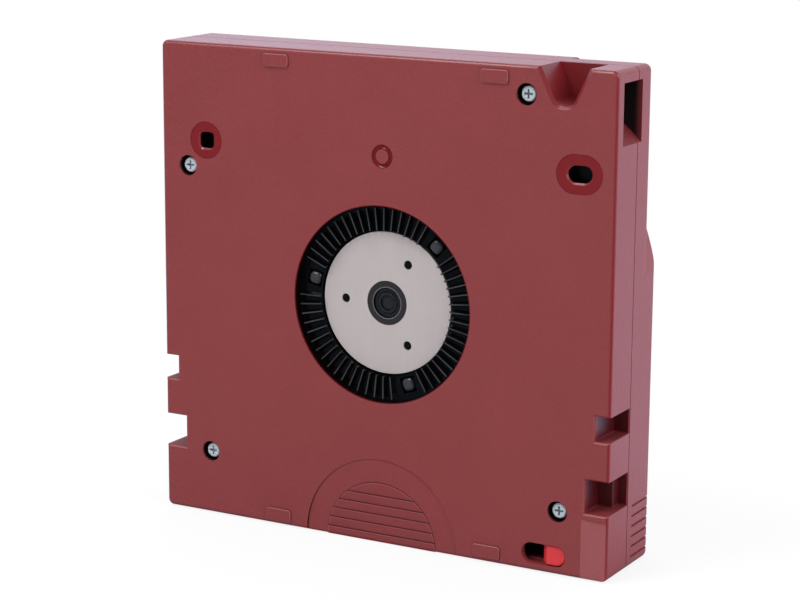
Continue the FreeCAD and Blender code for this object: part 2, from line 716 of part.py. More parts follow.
def face_bevel():
    """The shallow slope at the rear right corner of the bottom face."""
    outer = CASE_ACROSS + OUTSIDE
    deepest = BEVEL_SINK * (outer - BEVEL_ACROSS) / (CASE_ACROSS - BEVEL_ACROSS)
    points = [place(BEVEL_ACROSS, 0, -OUTSIDE), place(outer, deepest, -OUTSIDE),
              place(outer, -OUTSIDE, -OUTSIDE), place(BEVEL_ACROSS, -OUTSIDE, -OUTSIDE)]
    return profile(points, BEVEL_UP + OUTSIDE, Vector(0, 0, 1))


def stacking_pads():
    pads = []
    for across, up in PAD_PLACES:
        pad = rounded_plate((across, up), PAD_ACROSS, PAD_UP, PAD_CORNER_RADIUS, (-PAD_RISE, WALL / 2))
        pads.append(round_where(pad, PAD_EDGE_RADIUS, lambda edge: is_at_depth(edge, -PAD_RISE)))
    return pads


def bottom_shell():
    inner = cavity().cut(bottom_inner_walls())
    scoop, ribs = thumb_grip()
    cuts = side_notches() + [vee((0, 0), (-OUTSIDE, VEE_DEEP)), vee((VEE_BEVEL, 0), (0, VEE_BEVEL))]
    cuts += [side_pocket(), door_opening(), label_recess(), scoop, face_bevel()]
    cuts.append(rod(REEL, OPENING_RADIUS, (-OUTSIDE, PARTING)))
    for spot in SCREW_PLACES:
        cuts.append(rod(spot, SCREW_RECESS_RADIUS, (-OUTSIDE, SCREW_RECESS_DEPTH)))
        cuts.append(rod(spot, SCREW_HOLE_RADIUS, (0, PARTING)))
    cuts += locating_cuts()
    cuts.append(Part.makeTorus(GATE_RING_RADIUS, GATE_GROOVE_RADIUS, place(GATE_ACROSS, 0, GATE_UP), INTO_CASE))
    cuts.append(rounded_plate(TAB_SLOT, TAB_SLOT_LONG, TAB_SLOT_WIDE, TAB_SLOT_WIDE / 2, (-OUTSIDE, FLOOR)))
    shell = cut_each(bottom_outside(), [inner] + cuts)
    return join(shell, [ribs] + stacking_pads())


# ================================================================ top shell
def brake_key():
    """A cross-shaped key on the reel's axis, which keeps the brake from turning."""
    depth = (BRAKE_FACE + BRAKE_THICK + BRAKE_TRAVEL_UP + BRAKE_CLEAR, ROOF)
    return key_cross(KEY_RADIUS, KEY_WIDTH, depth)


def key_cross(radius, width, depth):
    arms = []
    for along, wide in ((radius, width / 2), (width / 2, radius)):
        arms.append(block((REEL_ACROSS - along, REEL_ACROSS + along), depth,
                          (REEL_UP - wide, REEL_UP + wide)))
    return join(arms[0], arms[1:])


def notch_lids():
    """The ends of the side notches, which reach up to the parting line."""
    lids = []
    for reach, (low, high) in ((UPPER_NOTCH[0], UPPER_NOTCH[1:]), (LOWER_NOTCH_SHELF, LOWER_NOTCH[1:])):
        lids += side_pair(reach + NOTCH_WALL, (PARTING, PARTING + NOTCH_WALL),
                          (low - NOTCH_WALL, high + NOTCH_WALL))
    return lids


def top_inner_walls():
    walls = [rod(spot, SCREW_POST_RADIUS, (PARTING, BODY_DEPTH)) for spot in SCREW_PLACES]
    walls += notch_lids()
    walls.append(side_pocket_walls())
    walls.append(door_rail((ROOF - RAIL_RISE, ROOF)))
    walls.append(pin_seat((ROOF - SEAT_RISE, ROOF)))
    walls.append(leaf_post((ROOF - PIN_END_CLEAR - PIN_HEAD_THICK, ROOF)))
    walls.append(brake_key())
    walls.append(tube(REEL, SPRING_SEAT_RADIUS, SPRING_SEAT_RADIUS + SPRING_SEAT_WALL,
                      (ROOF - SPRING_SEAT_RISE, ROOF)))
    return walls


def grip_grooves():
    """Short grooves across the rear of both sides, which run out over the top edge."""
    corner = TOP_EDGE_RADIUS * (2 - math.sqrt(2)) + GROOVE_SINK * math.sqrt(2)
    grooves = []
    for index in range(GROOVE_COUNT):
        up = GROOVE_FIRST + GROOVE_PITCH * index
        span = (up - GROOVE_WIDTH / 2, up + GROOVE_WIDTH / 2)
        grooves += side_pair(GROOVE_SINK, (GROOVE_START, BODY_DEPTH + OUTSIDE), span)
        for side, inward in ((0, 1), (CASE_ACROSS, -1)):
            points = [place(side, BODY_DEPTH - corner, span[0]), place(side, BODY_DEPTH, span[0]),
                      place(side + inward * corner, BODY_DEPTH, span[0])]
            grooves.append(profile(points, GROOVE_WIDTH, Vector(0, 0, 1)))
    return grooves


def top_shell():
    inner = cavity().cut(top_inner_walls())
    seam = (PARTING, PARTING + SEAM_WIDTH)
    cuts = [side_pocket(), door_opening(), label_recess()]
    cuts.append(case_slab(-OUTSIDE, seam).cut(case_slab(SEAM_SINK, seam)))
    for spot in SCREW_PLACES:
        cuts.append(rod(spot, SCREW_SHANK_RADIUS + FIT, (PARTING, PARTING + SCREW_PILOT_DEPTH)))
    return cut_each(top_outside(), [inner] + cuts + grip_grooves())


# ================================================================ screws
def screw(spot):
    seat = SCREW_RECESS_DEPTH
    head = rod(spot, SCREW_HEAD_RADIUS, (seat - SCREW_HEAD_RISE, seat))
    head = round_where(head, SCREW_HEAD_RISE / 3, lambda edge: is_at_depth(edge, seat - SCREW_HEAD_RISE))
    shank = rod(spot, SCREW_SHANK_RADIUS, (seat, seat - SCREW_HEAD_RISE + SCREW_LENGTH))
    tip = seat - SCREW_HEAD_RISE + SCREW_LENGTH
    shank = shank.makeChamfer(SCREW_SHANK_RADIUS / 2, [e for e in shank.Edges if is_at_depth(e, tip)])
    across, up = spot
    depth = (seat - SCREW_HEAD_RISE - OUTSIDE, seat - SCREW_HEAD_RISE + DRIVE_SLOT_DEEP)
    half_long, half_wide = DRIVE_SLOT_LONG / 2, DRIVE_SLOT_WIDE / 2
    slots = [block((across - a, across + a), depth, (up - b, up + b))
             for a, b in ((half_long, half_wide), (half_wide, half_long))]
    return join(head, [shank]).cut(slots)


def case_screws():
    return Part.makeCompound([screw(spot) for spot in SCREW_PLACES])


# ================================================================ reel
def near_a_foot(degrees):
    """Whether a drive tooth at this angle makes way for one of the spider's feet."""
    pitch = 360.0 / DRIVE_TEETH
    turns = [abs((degrees - foot + 180) % 360 - 180) for foot in FOOT_ANGLES]
    return min(turns) < pitch * TEETH_LEFT_OUT / 2


def reel_centre_boss():
    """What shows through the middle of the clutch plate: a cup with a six-sided stud in it."""
    boss = rod(REEL, PLATE_BORE - PLATE_CLEAR, (PLATE_FACE, WEB_OUTSIDE))
    cup_floor = PLATE_FACE + BOSS_CUP_SINK
    boss = boss.cut(rod(REEL, BOSS_CUP_RADIUS, (PLATE_FACE, cup_floor)))
    stud = prism([polar(BOSS_HEXAGON, 60 * corner, REEL) for corner in range(6)],
                 (cup_floor - BOSS_HEXAGON_RISE, cup_floor))
    dimple = rod(REEL, BOSS_DIMPLE_RADIUS, (PLATE_FACE, cup_floor - BOSS_HEXAGON_RISE + BOSS_DIMPLE_SINK))
    return join(boss, [stud]).cut(dimple)


def reel_hub():
    pieces = [
        rod(REEL, HUB_BORE, (WEB_OUTSIDE, WEB_INSIDE)),
        tube(REEL, HUB_BORE, HUB_RADIUS, (LOWER_FLANGE, UPPER_FLANGE)),
        tube(REEL, HUB_BORE, SPIGOT_RADIUS, (UPPER_FLANGE, UPPER_FLANGE + SPIGOT_RISE)),
        tube(REEL, DRIVE_RING_INNER, DRIVE_RING_OUTER, (DRIVE_ROOT, WEB_OUTSIDE)),
        tube(REEL, BRAKE_INNER, BRAKE_OUTER, (WEB_INSIDE, WEB_INSIDE + BRAKE_ROOT_RISE)),
        reel_centre_boss(),
    ]
    for angle in STAKE_ANGLES:
        stake = polar(STAKE_CIRCLE, angle, REEL)
        pieces.append(rod(stake, STAKE_HOLE_RADIUS - FIT, (PLATE_FACE + STAKE_SINK, WEB_OUTSIDE)))
    flange = tube(REEL, HUB_BORE, FLANGE_RADIUS, (LOWER_FLANGE, LOWER_FLANGE + FLANGE_THICK))
    body = join(flange, pieces)
    root, tip = WEB_INSIDE + BRAKE_ROOT_RISE, WEB_INSIDE + BRAKE_ROOT_RISE + BRAKE_TOOTH
    teeth = face_gear(BRAKE_TEETH, BRAKE_INNER, BRAKE_OUTER, root, tip, 0)
    teeth += face_gear(DRIVE_TEETH, DRIVE_RING_INNER, DRIVE_RING_OUTER, DRIVE_ROOT, DRIVE_TIP, 0,
                       lambda degrees: not near_a_foot(degrees))
    return body.fuse(teeth).cut(foot_blocks(FOOT_SLOT_CLEAR, (DRIVE_TIP, WEB_INSIDE))).removeSplitter()


def foot_blocks(grow, depth):
    """The spider's three feet, or with grow the slots they pass through."""
    half_radial, half_wide = FOOT_RADIAL / 2 + grow, FOOT_WIDE / 2 + grow
    across = (REEL_ACROSS + FOOT_CIRCLE - half_radial, REEL_ACROSS + FOOT_CIRCLE + half_radial)
    foot = block(across, depth, (REEL_UP - half_wide, REEL_UP + half_wide))
    return [turn_about(foot, REEL, angle) for angle in FOOT_ANGLES]


def reel_upper_flange():
    return tube(REEL, SPIGOT_RADIUS + FIT, FLANGE_RADIUS, (UPPER_FLANGE, UPPER_FLANGE + FLANGE_THICK))


def clutch_plate():
    plate = tube(REEL, PLATE_BORE, PLATE_RADIUS, (PLATE_FACE, WEB_OUTSIDE))
    holes = [rod(polar(STAKE_CIRCLE, angle, REEL), STAKE_HOLE_RADIUS, (PLATE_FACE, WEB_OUTSIDE))
             for angle in STAKE_ANGLES]
    return plate.cut(holes)


def tape_pack():
    return tube(REEL, HUB_RADIUS + FIT, PACK_RADIUS, (PACK_START, PACK_START + TAPE_WIDTH))


# ================================================================ brake
def brake_button():
    top = BRAKE_FACE + BRAKE_THICK
    disc = rod(REEL, BRAKE_RADIUS, (BRAKE_FACE, top))
    collar = rod(REEL, BRAKE_COLLAR_RADIUS, (top, BRAKE_COLLAR_TOP))
    socket = key_cross(KEY_RADIUS + KEY_CLEAR, KEY_WIDTH + 2 * KEY_CLEAR, (top, BRAKE_COLLAR_TOP))
    teeth = face_gear(BRAKE_TEETH, BRAKE_INNER, BRAKE_OUTER, BRAKE_FACE, BRAKE_TIP, 180.0 / BRAKE_TEETH)
    return join(disc, [collar.cut(socket)] + teeth)


def spider_top():
    return BRAKE_FACE - SPIDER_CLEAR


def release_spider():
    top = spider_top()
    ring = tube(REEL, SPIDER_INNER, SPIDER_OUTER, (top - SPIDER_THICK, top))
    feet = foot_blocks(0, (FOOT_TIP, top))
    feet = [round_where(foot, FOOT_EDGE_RADIUS, lambda edge: is_at_depth(edge, FOOT_TIP)) for foot in feet]
    return join(ring, feet)


def coil(radius, wire, turns, length):
    """A coil spring along Z from the origin, its wire's outside length long in all."""
    height = length - wire
    path = Part.makeHelix(height / turns, height, radius)
    corners = []
    for corner in range(WIRE_SIDES + 1):
        angle = 2 * math.pi * corner / WIRE_SIDES
        corners.append(Vector(radius + wire / 2 * math.cos(angle), 0, wire / 2 * math.sin(angle)))
    spring = Part.Wire(path).makePipeShell([Part.makePolygon(corners)], True, True)
    spring.translate(Vector(0, 0, wire / 2))
    return spring


def brake_spring():
    start = BRAKE_FACE + BRAKE_THICK + SPRING_END_CLEAR
    spring = coil(SPRING_COIL_RADIUS, SPRING_WIRE, SPRING_TURNS, ROOF - SPRING_END_CLEAR - start)
    spring.rotate(Vector(0, 0, 0), Vector(1, 0, 0), -90)
    spring.translate(place(REEL_ACROSS, start, REEL_UP))
    return spring


# ================================================================ leader
def leader_run():
    """Angle and length of the tape's straight run from the pin to the pack."""
    run_across, run_up = REEL_ACROSS - PIN_ACROSS, REEL_UP - PIN_UP
    distance = math.hypot(run_across, run_up)
    clear = PACK_RADIUS + LEADER_END_CLEAR + LEADER_THICK / 2
    angle = math.degrees(math.atan2(run_up, run_across) + math.asin(clear / distance))
    return angle, math.sqrt(distance ** 2 - clear ** 2)


def leader_tape():
    angle, length = leader_run()
    start = PIN_RADIUS + CLIP_CLEAR
    tape = block((PIN_ACROSS + start, PIN_ACROSS + length), (PACK_START, PACK_START + TAPE_WIDTH),
                 (PIN_UP - LEADER_THICK / 2, PIN_UP + LEADER_THICK / 2))
    return turn_about(tape, PIN, angle)


def leader_pin():
    low, high = FLOOR + PIN_END_CLEAR, ROOF - PIN_END_CLEAR
    shaft = rod(PIN, PIN_RADIUS, (low, high))
    heads = [rod(PIN, PIN_HEAD_RADIUS, (low, low + PIN_HEAD_THICK)),
             rod(PIN, PIN_HEAD_RADIUS, (high - PIN_HEAD_THICK, high))]
    heads = [head.makeChamfer(PIN_HEAD_THICK / 4, [e for e in head.Edges if is_at_depth(e, low)
                                                   or is_at_depth(e, high)]) for head in heads]
    return join(shaft, heads)


def leader_pin_clip():
    depth = (PACK_START, PACK_START + TAPE_WIDTH)
    ring = tube(PIN, PIN_RADIUS + CLIP_CLEAR, CLIP_RADIUS, depth)
    slot = block((PIN_ACROSS, PIN_ACROSS + CLIP_RADIUS), depth,
                 (PIN_UP - CLIP_SLOT / 2, PIN_UP + CLIP_SLOT / 2))
    return ring.cut(turn_about(slot, PIN, leader_run()[0]))


def leaf_bend():
    """Where the leaf spring turns from the pin's head towards its post."""
    reach = PIN_HEAD_RADIUS + LEAF_CLEAR
    diagonal = math.sqrt(0.5)
    return (PIN_ACROSS + diagonal * (LEAF_ARM - reach), PIN_UP + diagonal * (LEAF_ARM + reach))


def pin_retaining_springs():
    diagonal = math.sqrt(0.5)
    reach = PIN_HEAD_RADIUS + LEAF_CLEAR
    bend = leaf_bend()
    tip = (PIN_ACROSS - diagonal * (LEAF_TAIL + reach), PIN_UP + diagonal * (reach - LEAF_TAIL))
    thick = LEAF_THICK
    outline = [tip, bend, (LEAF_POST_ACROSS, bend[1]), (LEAF_POST_ACROSS, bend[1] + thick),
               (bend[0] - thick * math.tan(math.radians(22.5)), bend[1] + thick),
               (tip[0] - diagonal * thick, tip[1] + diagonal * thick)]
    inset = PIN_END_CLEAR + (PIN_HEAD_THICK - LEAF_WIDE) / 2
    return Part.makeCompound([prism(outline, (FLOOR + inset, FLOOR + inset + LEAF_WIDE)),
                              prism(outline, (ROOF - inset - LEAF_WIDE, ROOF - inset))])


# ================================================================ door
def sliding_door():
    depth = (FLOOR + DOOR_EDGE_CLEAR, ROOF - DOOR_EDGE_CLEAR)
    plate = block((DOOR_ACROSS, DOOR_ACROSS + DOOR_THICK), depth, DOOR_UPS)
    plate = plate.cut(past_leading_edge(WALL + DOOR_EDGE_CLEAR))
    middle = (DOOR_OPENING_DEPTHS[0] + DOOR_OPENING_DEPTHS[1]) / 2
    high = DOOR_OPENING_UPS[1] - DOOR_FINGER_GAP
    finger = block((DOOR_FINGER_SINK, DOOR_ACROSS),
                   (middle - DOOR_FINGER_LONG / 2, middle + DOOR_FINGER_LONG / 2),
                   (high - DOOR_FINGER_WIDE, high))
    return join(plate, [finger])


def door_spring():
    length = DOOR_UPS[0] - DOOR_SPRING_SEAT_UP - 2 * SPRING_END_CLEAR
    spring = coil(DOOR_SPRING_COIL_RADIUS, DOOR_SPRING_WIRE, DOOR_SPRING_TURNS, length)
    across = WALL + SPRING_SIDE_CLEAR + DOOR_SPRING_COIL_RADIUS + DOOR_SPRING_WIRE / 2
    spring.translate(place(across, DOOR_SPRING_DEPTH, DOOR_SPRING_SEAT_UP + SPRING_END_CLEAR))
    return spring


# ================================================================ write-protect tab
def tab_ends():
    """Where the tab's button starts and ends, across, at the end of its slot."""
    right = TAB_SLOT_MIDDLE + TAB_SLOT_LONG / 2 - TAB_CLEAR
    return right - TAB_LONG, right


def tab_plate_across():
    left, right = tab_ends()
    return left - TAB_PLATE_EXTRA, right + TAB_PLATE_EXTRA


def tab_plate_up():
    return WALL + TAB_PLATE_CLEAR, TAB_SLOT_UP + TAB_SLOT_WIDE / 2 + TAB_PLATE_EXTRA


def write_protect_tab():
    radius = TAB_SLOT_WIDE / 2 - TAB_CLEAR
    left, right = tab_ends()
    plate_top = FLOOR + TAB_PLATE_CLEAR
    depth = (TAB_FACE, plate_top)
    button = join(block((left, right - radius), depth, (TAB_SLOT_UP - radius, TAB_SLOT_UP + radius)),
                  [rod((right - radius, TAB_SLOT_UP), radius, depth)])
    button = round_where(button, TAB_EDGE_RADIUS, lambda edge: is_at_depth(edge, TAB_FACE))
    start = TAB_SLOT_UP - TAB_FLANK_WIDE / 2
    flank = profile([place(left, TAB_FACE + TAB_EDGE_RADIUS, start), place(left, plate_top, start),
                     place(left - TAB_FLANK_LONG, plate_top, start)], TAB_FLANK_WIDE, Vector(0, 0, 1))
    plate = block(tab_plate_across(), (plate_top, plate_top + TAB_PLATE_THICK), tab_plate_up())
    return join(button, [flank, plate])


# ================================================================ memory board
def memory_board():
    across, up = BOARD_MIDDLE
    board = block((across - BOARD_LONG / 2, across + BOARD_LONG / 2), BOARD_DEPTHS,
                  (up - BOARD_THICK / 2, up + BOARD_THICK / 2))
    return turn_about(board, BOARD_MIDDLE, -45)


def memory_chip():
    across, up = BOARD_MIDDLE
    middle = (BOARD_DEPTHS[0] + BOARD_DEPTHS[1]) / 2
    chip = block((across - CHIP_SIZE / 2, across + CHIP_SIZE / 2),
                 (middle - CHIP_SIZE / 2, middle + CHIP_SIZE / 2),
                 (up + BOARD_THICK / 2, up + BOARD_THICK / 2 + CHIP_THICK))
    return turn_about(chip, BOARD_MIDDLE, -45)


# ================================================================ all pieces
NODES = (
    bottom_shell, top_shell, case_screws,
    reel_hub, reel_upper_flange, clutch_plate, tape_pack,
    brake_button, brake_spring, release_spider,
    leader_tape, leader_pin, leader_pin_clip, pin_retaining_springs,
    sliding_door, door_spring, write_protect_tab,
    memory_board, memory_chip,
)


def main():
    os.makedirs("parts", exist_ok=True)
    for build in NODES:
        shape = build()
        shape.exportStep(f"parts/{build.__name__}.step")
        print(f"{build.__name__:24s}{len(shape.Solids)} solid(s) {shape.Volume:10.2f} mm3  valid {shape.isValid()}")


if __name__ == "__main__":
    main()
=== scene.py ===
# %% [markdown]
# # Dressing a data tape cartridge
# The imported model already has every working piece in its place. This lesson gives those pieces
# the finishes of the real ones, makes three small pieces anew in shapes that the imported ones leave
# plain, and sets up a plain studio. Lengths in the notes are in millimetres, and Blender works in
# metres.

import json
import math
from functools import reduce

import bmesh
import bpy
from mathutils import Euler, Matrix, Vector


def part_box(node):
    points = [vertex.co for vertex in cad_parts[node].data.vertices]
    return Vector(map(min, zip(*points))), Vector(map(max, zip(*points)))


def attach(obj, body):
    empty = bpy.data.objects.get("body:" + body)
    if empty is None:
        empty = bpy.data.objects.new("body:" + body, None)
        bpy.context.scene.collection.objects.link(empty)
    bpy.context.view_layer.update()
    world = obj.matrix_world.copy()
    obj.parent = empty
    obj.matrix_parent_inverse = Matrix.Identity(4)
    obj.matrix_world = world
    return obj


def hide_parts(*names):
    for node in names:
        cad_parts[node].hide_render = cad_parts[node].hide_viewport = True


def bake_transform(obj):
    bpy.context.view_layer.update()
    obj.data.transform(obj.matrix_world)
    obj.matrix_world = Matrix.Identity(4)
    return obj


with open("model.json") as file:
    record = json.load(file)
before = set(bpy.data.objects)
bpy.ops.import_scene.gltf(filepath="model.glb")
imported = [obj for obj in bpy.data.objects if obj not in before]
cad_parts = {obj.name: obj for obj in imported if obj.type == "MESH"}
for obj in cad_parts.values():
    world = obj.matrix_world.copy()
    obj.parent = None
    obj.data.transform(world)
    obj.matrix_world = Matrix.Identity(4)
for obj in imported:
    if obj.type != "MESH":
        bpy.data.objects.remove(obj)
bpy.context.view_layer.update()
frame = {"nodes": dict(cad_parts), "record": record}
nodes = frame["nodes"]
MM = 0.001
mounts = {mount["name"]: Vector(mount["pos_m"]) for mount in frame["record"]["mounts"]}
FACE_Y = mounts["bottom_face"].y                  # the face from which depths are counted
REEL = mounts["reel_opening"]                     # a point on the reel's axis
CASE_LOW, CASE_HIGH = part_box("bottom_shell")[0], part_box("top_shell")[1]


# %% [markdown]
# ## Small helpers for materials
# A finish is a graph of nodes. Writing `node.outputs[0]` to `other.inputs["Color"]` by hand takes
# many lines, so one helper makes a node and wires whatever it is given: a number or a colour
# is set on the socket, and a socket is linked to it. The room's light is such a graph too, and
# gets its nodes from the same helper.

# %% A node maker
def node_maker(tree):
    """Empties a graph, and gives the function that adds nodes to it."""
    tree.nodes.clear()

    def add(kind, output=0, settings=None, **sockets):
        node = tree.nodes.new("ShaderNode" + kind)
        for key, value in (settings or {}).items():
            setattr(node, key, value)
        for key, value in sockets.items():
            number = key[1:]
            socket = node.inputs[int(number)] if number.isdigit() else node.inputs[key.replace("_", " ")]
            if isinstance(value, bpy.types.NodeSocket):
                tree.links.new(value, socket)
            else:
                socket.default_value = value
        return node.outputs[output] if len(node.outputs) else node

    return add


def finish_named(name):
    """A new material, and the function that adds nodes to its graph."""
    material = bpy.data.materials.new(name)
    material.use_nodes = True
    return material, node_maker(material.node_tree)


def wear(node, material):
    """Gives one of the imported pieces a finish."""
    nodes[node].data.materials.clear()
    nodes[node].data.materials.append(material)


# %% [markdown]
# Four kinds of node come back again and again: arithmetic, one axis of a place, a value stretched
# to a new range, and one colour laid over another. Each gets a short name.

# %% The nodes that come back
X, Y, Z = range(3)
NOISE_RANGE = 0.3, 0.7                            # where nearly all of a noise's values lie


def math_of(add, operation, first, second=0.0, clamp=False):
    return add("Math", settings={"operation": operation, "use_clamp": clamp}, _0=first, _1=second)


def any_of(add, masks):
    """1 where at least one mask is 1."""
    return reduce(lambda total, mask: math_of(add, "MAXIMUM", total, mask), masks)


def all_of(add, masks):
    """1 where every mask is 1, and the product of soft masks in between."""
    return reduce(lambda total, mask: math_of(add, "MULTIPLY", total, mask), masks)


def coordinate(add, point, axis):
    return add("SeparateXYZ", output=axis, Vector=point)


def stretched(add, value, start, end, low=0.0, high=1.0, curve="LINEAR"):
    """Runs from low to high while a value runs from start to end, and stays there past them."""
    return add("MapRange", settings={"interpolation_type": curve}, Value=value,
               From_Min=start, From_Max=end, To_Min=low, To_Max=high)


def laid_over(add, colour, tint, share):
    """A colour with a tint over it, by a share that is a mask or a noise."""
    return add("Mix", output=2, settings={"data_type": "RGBA"}, _0=share, _6=colour, _7=tint)


# %% [markdown]
# Lands, notches and wells of the case are polished in the mould, while the skin around them is
# spark-textured. Both are one solid, so the finish needs to know where it is. Object coordinates
# are metres from the model's origin, and a few comparisons of them make a mask that is 1 inside
# a box or a cylinder and 0 outside.

# %% Masks from object coordinates
HALF_WIDTH = 52.7                                 # from the case's left side to the origin


def place(across, depth, up):
    """A point given as on the drawing: from the left side, the bottom face and the rear edge."""
    return Vector(((across - HALF_WIDTH) * MM, FACE_Y + depth * MM, up * MM))


def from_middle(add, point, low, high):
    """How far a point is from the middle of a box along each axis."""
    offset = add("VectorMath", settings={"operation": "SUBTRACT"}, _0=point, _1=(low + high) / 2)
    away = add("VectorMath", settings={"operation": "ABSOLUTE"}, _0=offset)
    return [coordinate(add, away, axis) for axis in (X, Y, Z)]


def in_box(add, point, low, high):
    """1 inside the box between two corners."""
    sides = zip(from_middle(add, point, low, high), (high - low) / 2)
    return all_of(add, [math_of(add, "LESS_THAN", distance, half) for distance, half in sides])


def on_edge(add, point, low, high, inset):
    """1 where a point is near two or more sides of a box at once, which is along its edges."""
    near = 0.0
    for distance, half in zip(from_middle(add, point, low, high), (high - low) / 2):
        side = stretched(add, distance, half - inset, half - inset * 0.3, curve="SMOOTHSTEP")
        near = math_of(add, "ADD", side, near)
    return math_of(add, "SUBTRACT", near, 1.0, clamp=True)


def in_land(add, point, middle, radius, reach=0.0):
    """1 in a disc seen from the face, or in a slot whose ends lie a reach to each side."""
    offset = add("VectorMath", settings={"operation": "SUBTRACT"}, _0=point, _1=middle)
    x, z = coordinate(add, offset, X), coordinate(add, offset, Z)
    beyond = math_of(add, "SUBTRACT", math_of(add, "ABSOLUTE", x), reach * MM)
    beyond = math_of(add, "MAXIMUM", beyond, 0.0)
    square = math_of(add, "ADD", math_of(add, "MULTIPLY", beyond, beyond), math_of(add, "MULTIPLY", z, z))
    return math_of(add, "LESS_THAN", square, (radius * MM) * (radius * MM))


def ring_of(add, point, middle, outer, inner):
    """1 between two radii about an axis."""
    discs = [in_land(add, point, middle, radius) for radius in (outer, inner)]
    return math_of(add, "SUBTRACT", *discs)


print("the case's left side is at", round(place(0, 0, 0).x, 4))

# %% [markdown]
# The screws' recesses are wells too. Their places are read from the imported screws: one node holds
# all four, so their joined vertices are walked over, and each walk ends where a screw does.

# %% Where the screws stand
def loose_parts(node):
    """The middle of each separate solid of a node, found by walking over its joined vertices."""
    shape = bmesh.new()
    shape.from_mesh(nodes[node].data)
    bmesh.ops.remove_doubles(shape, verts=shape.verts, dist=1e-6)
    middles, left = [], set(shape.verts)
    while left:
        group, front = set(), [left.pop()]
        while front:
            vertex = front.pop()
            group.add(vertex)
            for edge in vertex.link_edges:
                other = edge.other_vert(vertex)
                if other in left:
                    left.remove(other)
                    front.append(other)
        xs, zs = [v.co.x for v in group], [v.co.z for v in group]
        middles.append(Vector(((min(xs) + max(xs)) / 2, FACE_Y, (min(zs) + max(zs)) / 2)))
    shape.free()
    return middles


SCREWS = sorted(loose_parts("case_screws"), key=tuple)
print("screws at", [(round(spot.x / MM, 2), round(spot.z / MM, 2)) for spot in SCREWS])


# %% [markdown]
# ## The case: spark-textured plastic
# The real shells are moulded in a dark red plastic whose skin is a fine, even pebble of about half
# a millimetre. The pebble scatters white light over the red, and that sheen is painted into the
# skin's colour, which is paler than the same plastic where the mould is polished. One graph serves
# both shells and the door. It could be three materials on three groups of faces, but masks keep the
# imported meshes as they are. It is put together step by step: first the polished places, which are
# the lands round the hole and the slot, the gate's ring, the reel's opening, the V notch, the side
# notches and the pocket, and the outer edges.

# %% Case: the polished places
LAND_END = 3.3                                    # how deep the face's lands and wells reach
EDGE_WIDE = 0.75
SHELF = 0.35                                      # how far a notch's floor counts as its shelf
HOLE, SLOT, GATE = place(11.15, 0, 81.5), place(97.65, 0, 81.5), place(53.8, 0, 81.5)
LAND_RADIUS, LAND_REACH = 3.95, 1.05
GATE_OUTER, GATE_INNER = 2.45, 1.45
OPENING_RADIUS = 20.7
VEE = place(87.0, 0.06, 94.1), place(101.0, 9.7, 101.9)
POCKET = place(98.0, 2.0, 86.0), place(105.32, 12.0, 99.8)
NOTCH_LEVELS = (28.6, 34.0), (13.6, 20.8)
NOTCH_SIDES = (0.3, 5.3), (100.1, 105.1)
NOTCH_TOP, NOTCH_FLOOR = 0.3, 9.7                 # depths


def notch_boxes(lift=0.0):
    """The corners of the four notches' boxes, with their floors lifted."""
    return [(place(start, NOTCH_TOP, low + lift), place(end, NOTCH_FLOOR, high))
            for low, high in NOTCH_LEVELS for start, end in NOTCH_SIDES]


case_plastic, add = finish_named("case_plastic")
point = add("TexCoord", output=3)
depth = math_of(add, "SUBTRACT", coordinate(add, point, Y), FACE_Y)
front = math_of(add, "LESS_THAN", depth, LAND_END * MM)
opening = in_land(add, point, REEL, OPENING_RADIUS)
lands = any_of(add, [in_land(add, point, HOLE, LAND_RADIUS),
                     in_land(add, point, SLOT, LAND_RADIUS, LAND_REACH),
                     ring_of(add, point, GATE, GATE_OUTER, GATE_INNER), opening])
lands = all_of(add, [lands, front])
vee, pocket = in_box(add, point, *VEE), in_box(add, point, *POCKET)
notches = any_of(add, [in_box(add, point, *corners) for corners in notch_boxes()])
notch_walls = any_of(add, [in_box(add, point, *corners) for corners in notch_boxes(SHELF)])
edges = on_edge(add, point, Vector((CASE_LOW.x, FACE_Y, CASE_LOW.z)), CASE_HIGH, EDGE_WIDE * MM)
smooth = any_of(add, [lands, edges, vee, pocket, notches])
print("polished places:", len(case_plastic.node_tree.nodes), "nodes so far")

# %% [markdown]
# Little light comes back out of a narrow well, since red plastic swallows some at each bounce. So
# the holes, the screws' recesses, the reel's opening and the pocket above its sloping floor are
# painted nearly black with depth, as painted shade, and the notches' walls get a deep red painted
# shade.

# %% Case: wells painted darker with depth
HOLE_RADIUS, SLOT_RADIUS, SLOT_REACH, RECESS_RADIUS = 2.45, 1.75, 0.95, 2.25
RAMP, RAMP_SLOPE = place(105.4, 0, 87.3), 5.2 / 6.1      # the pocket's sloping floor
POCKET_MOUTH, POCKET_DARK = place(105.1, 0, 0).x, place(103.9, 0, 0).x


def deeper_than(start, end):
    """Runs from 0 to 1 between two depths below the bottom face."""
    return stretched(add, depth, start * MM, end * MM)


holes = any_of(add, [in_land(add, point, HOLE, HOLE_RADIUS),
                     in_land(add, point, SLOT, SLOT_RADIUS, SLOT_REACH)])
recesses = any_of(add, [in_land(add, point, spot, RECESS_RADIUS) for spot in SCREWS])
# painted shade deepening down the holes, the recesses and the reel's opening
wells = any_of(add, [all_of(add, [holes, deeper_than(0.45, 0.8)]),
                     all_of(add, [recesses, deeper_than(0.05, 0.8)]),
                     all_of(add, [opening, deeper_than(-0.2, 0.5)])])
across, up = coordinate(add, point, X), coordinate(add, point, Z)
slanted = math_of(add, "ADD", math_of(add, "MULTIPLY", across, RAMP_SLOPE), up)
above_ramp = math_of(add, "GREATER_THAN", slanted, RAMP.x * RAMP_SLOPE + RAMP.z)
# painted shade inside the pocket, above its ramp
pocket_inside = all_of(add, [pocket, stretched(add, across, POCKET_MOUTH, POCKET_DARK), above_ramp])
well_shade = any_of(add, [all_of(add, [wells, front]), pocket_inside])
# painted shade on the notches' walls, above their shelves
shaded = all_of(add, [notch_walls, deeper_than(0.2, 2.2)])
print("with the wells:", len(case_plastic.node_tree.nodes), "nodes")
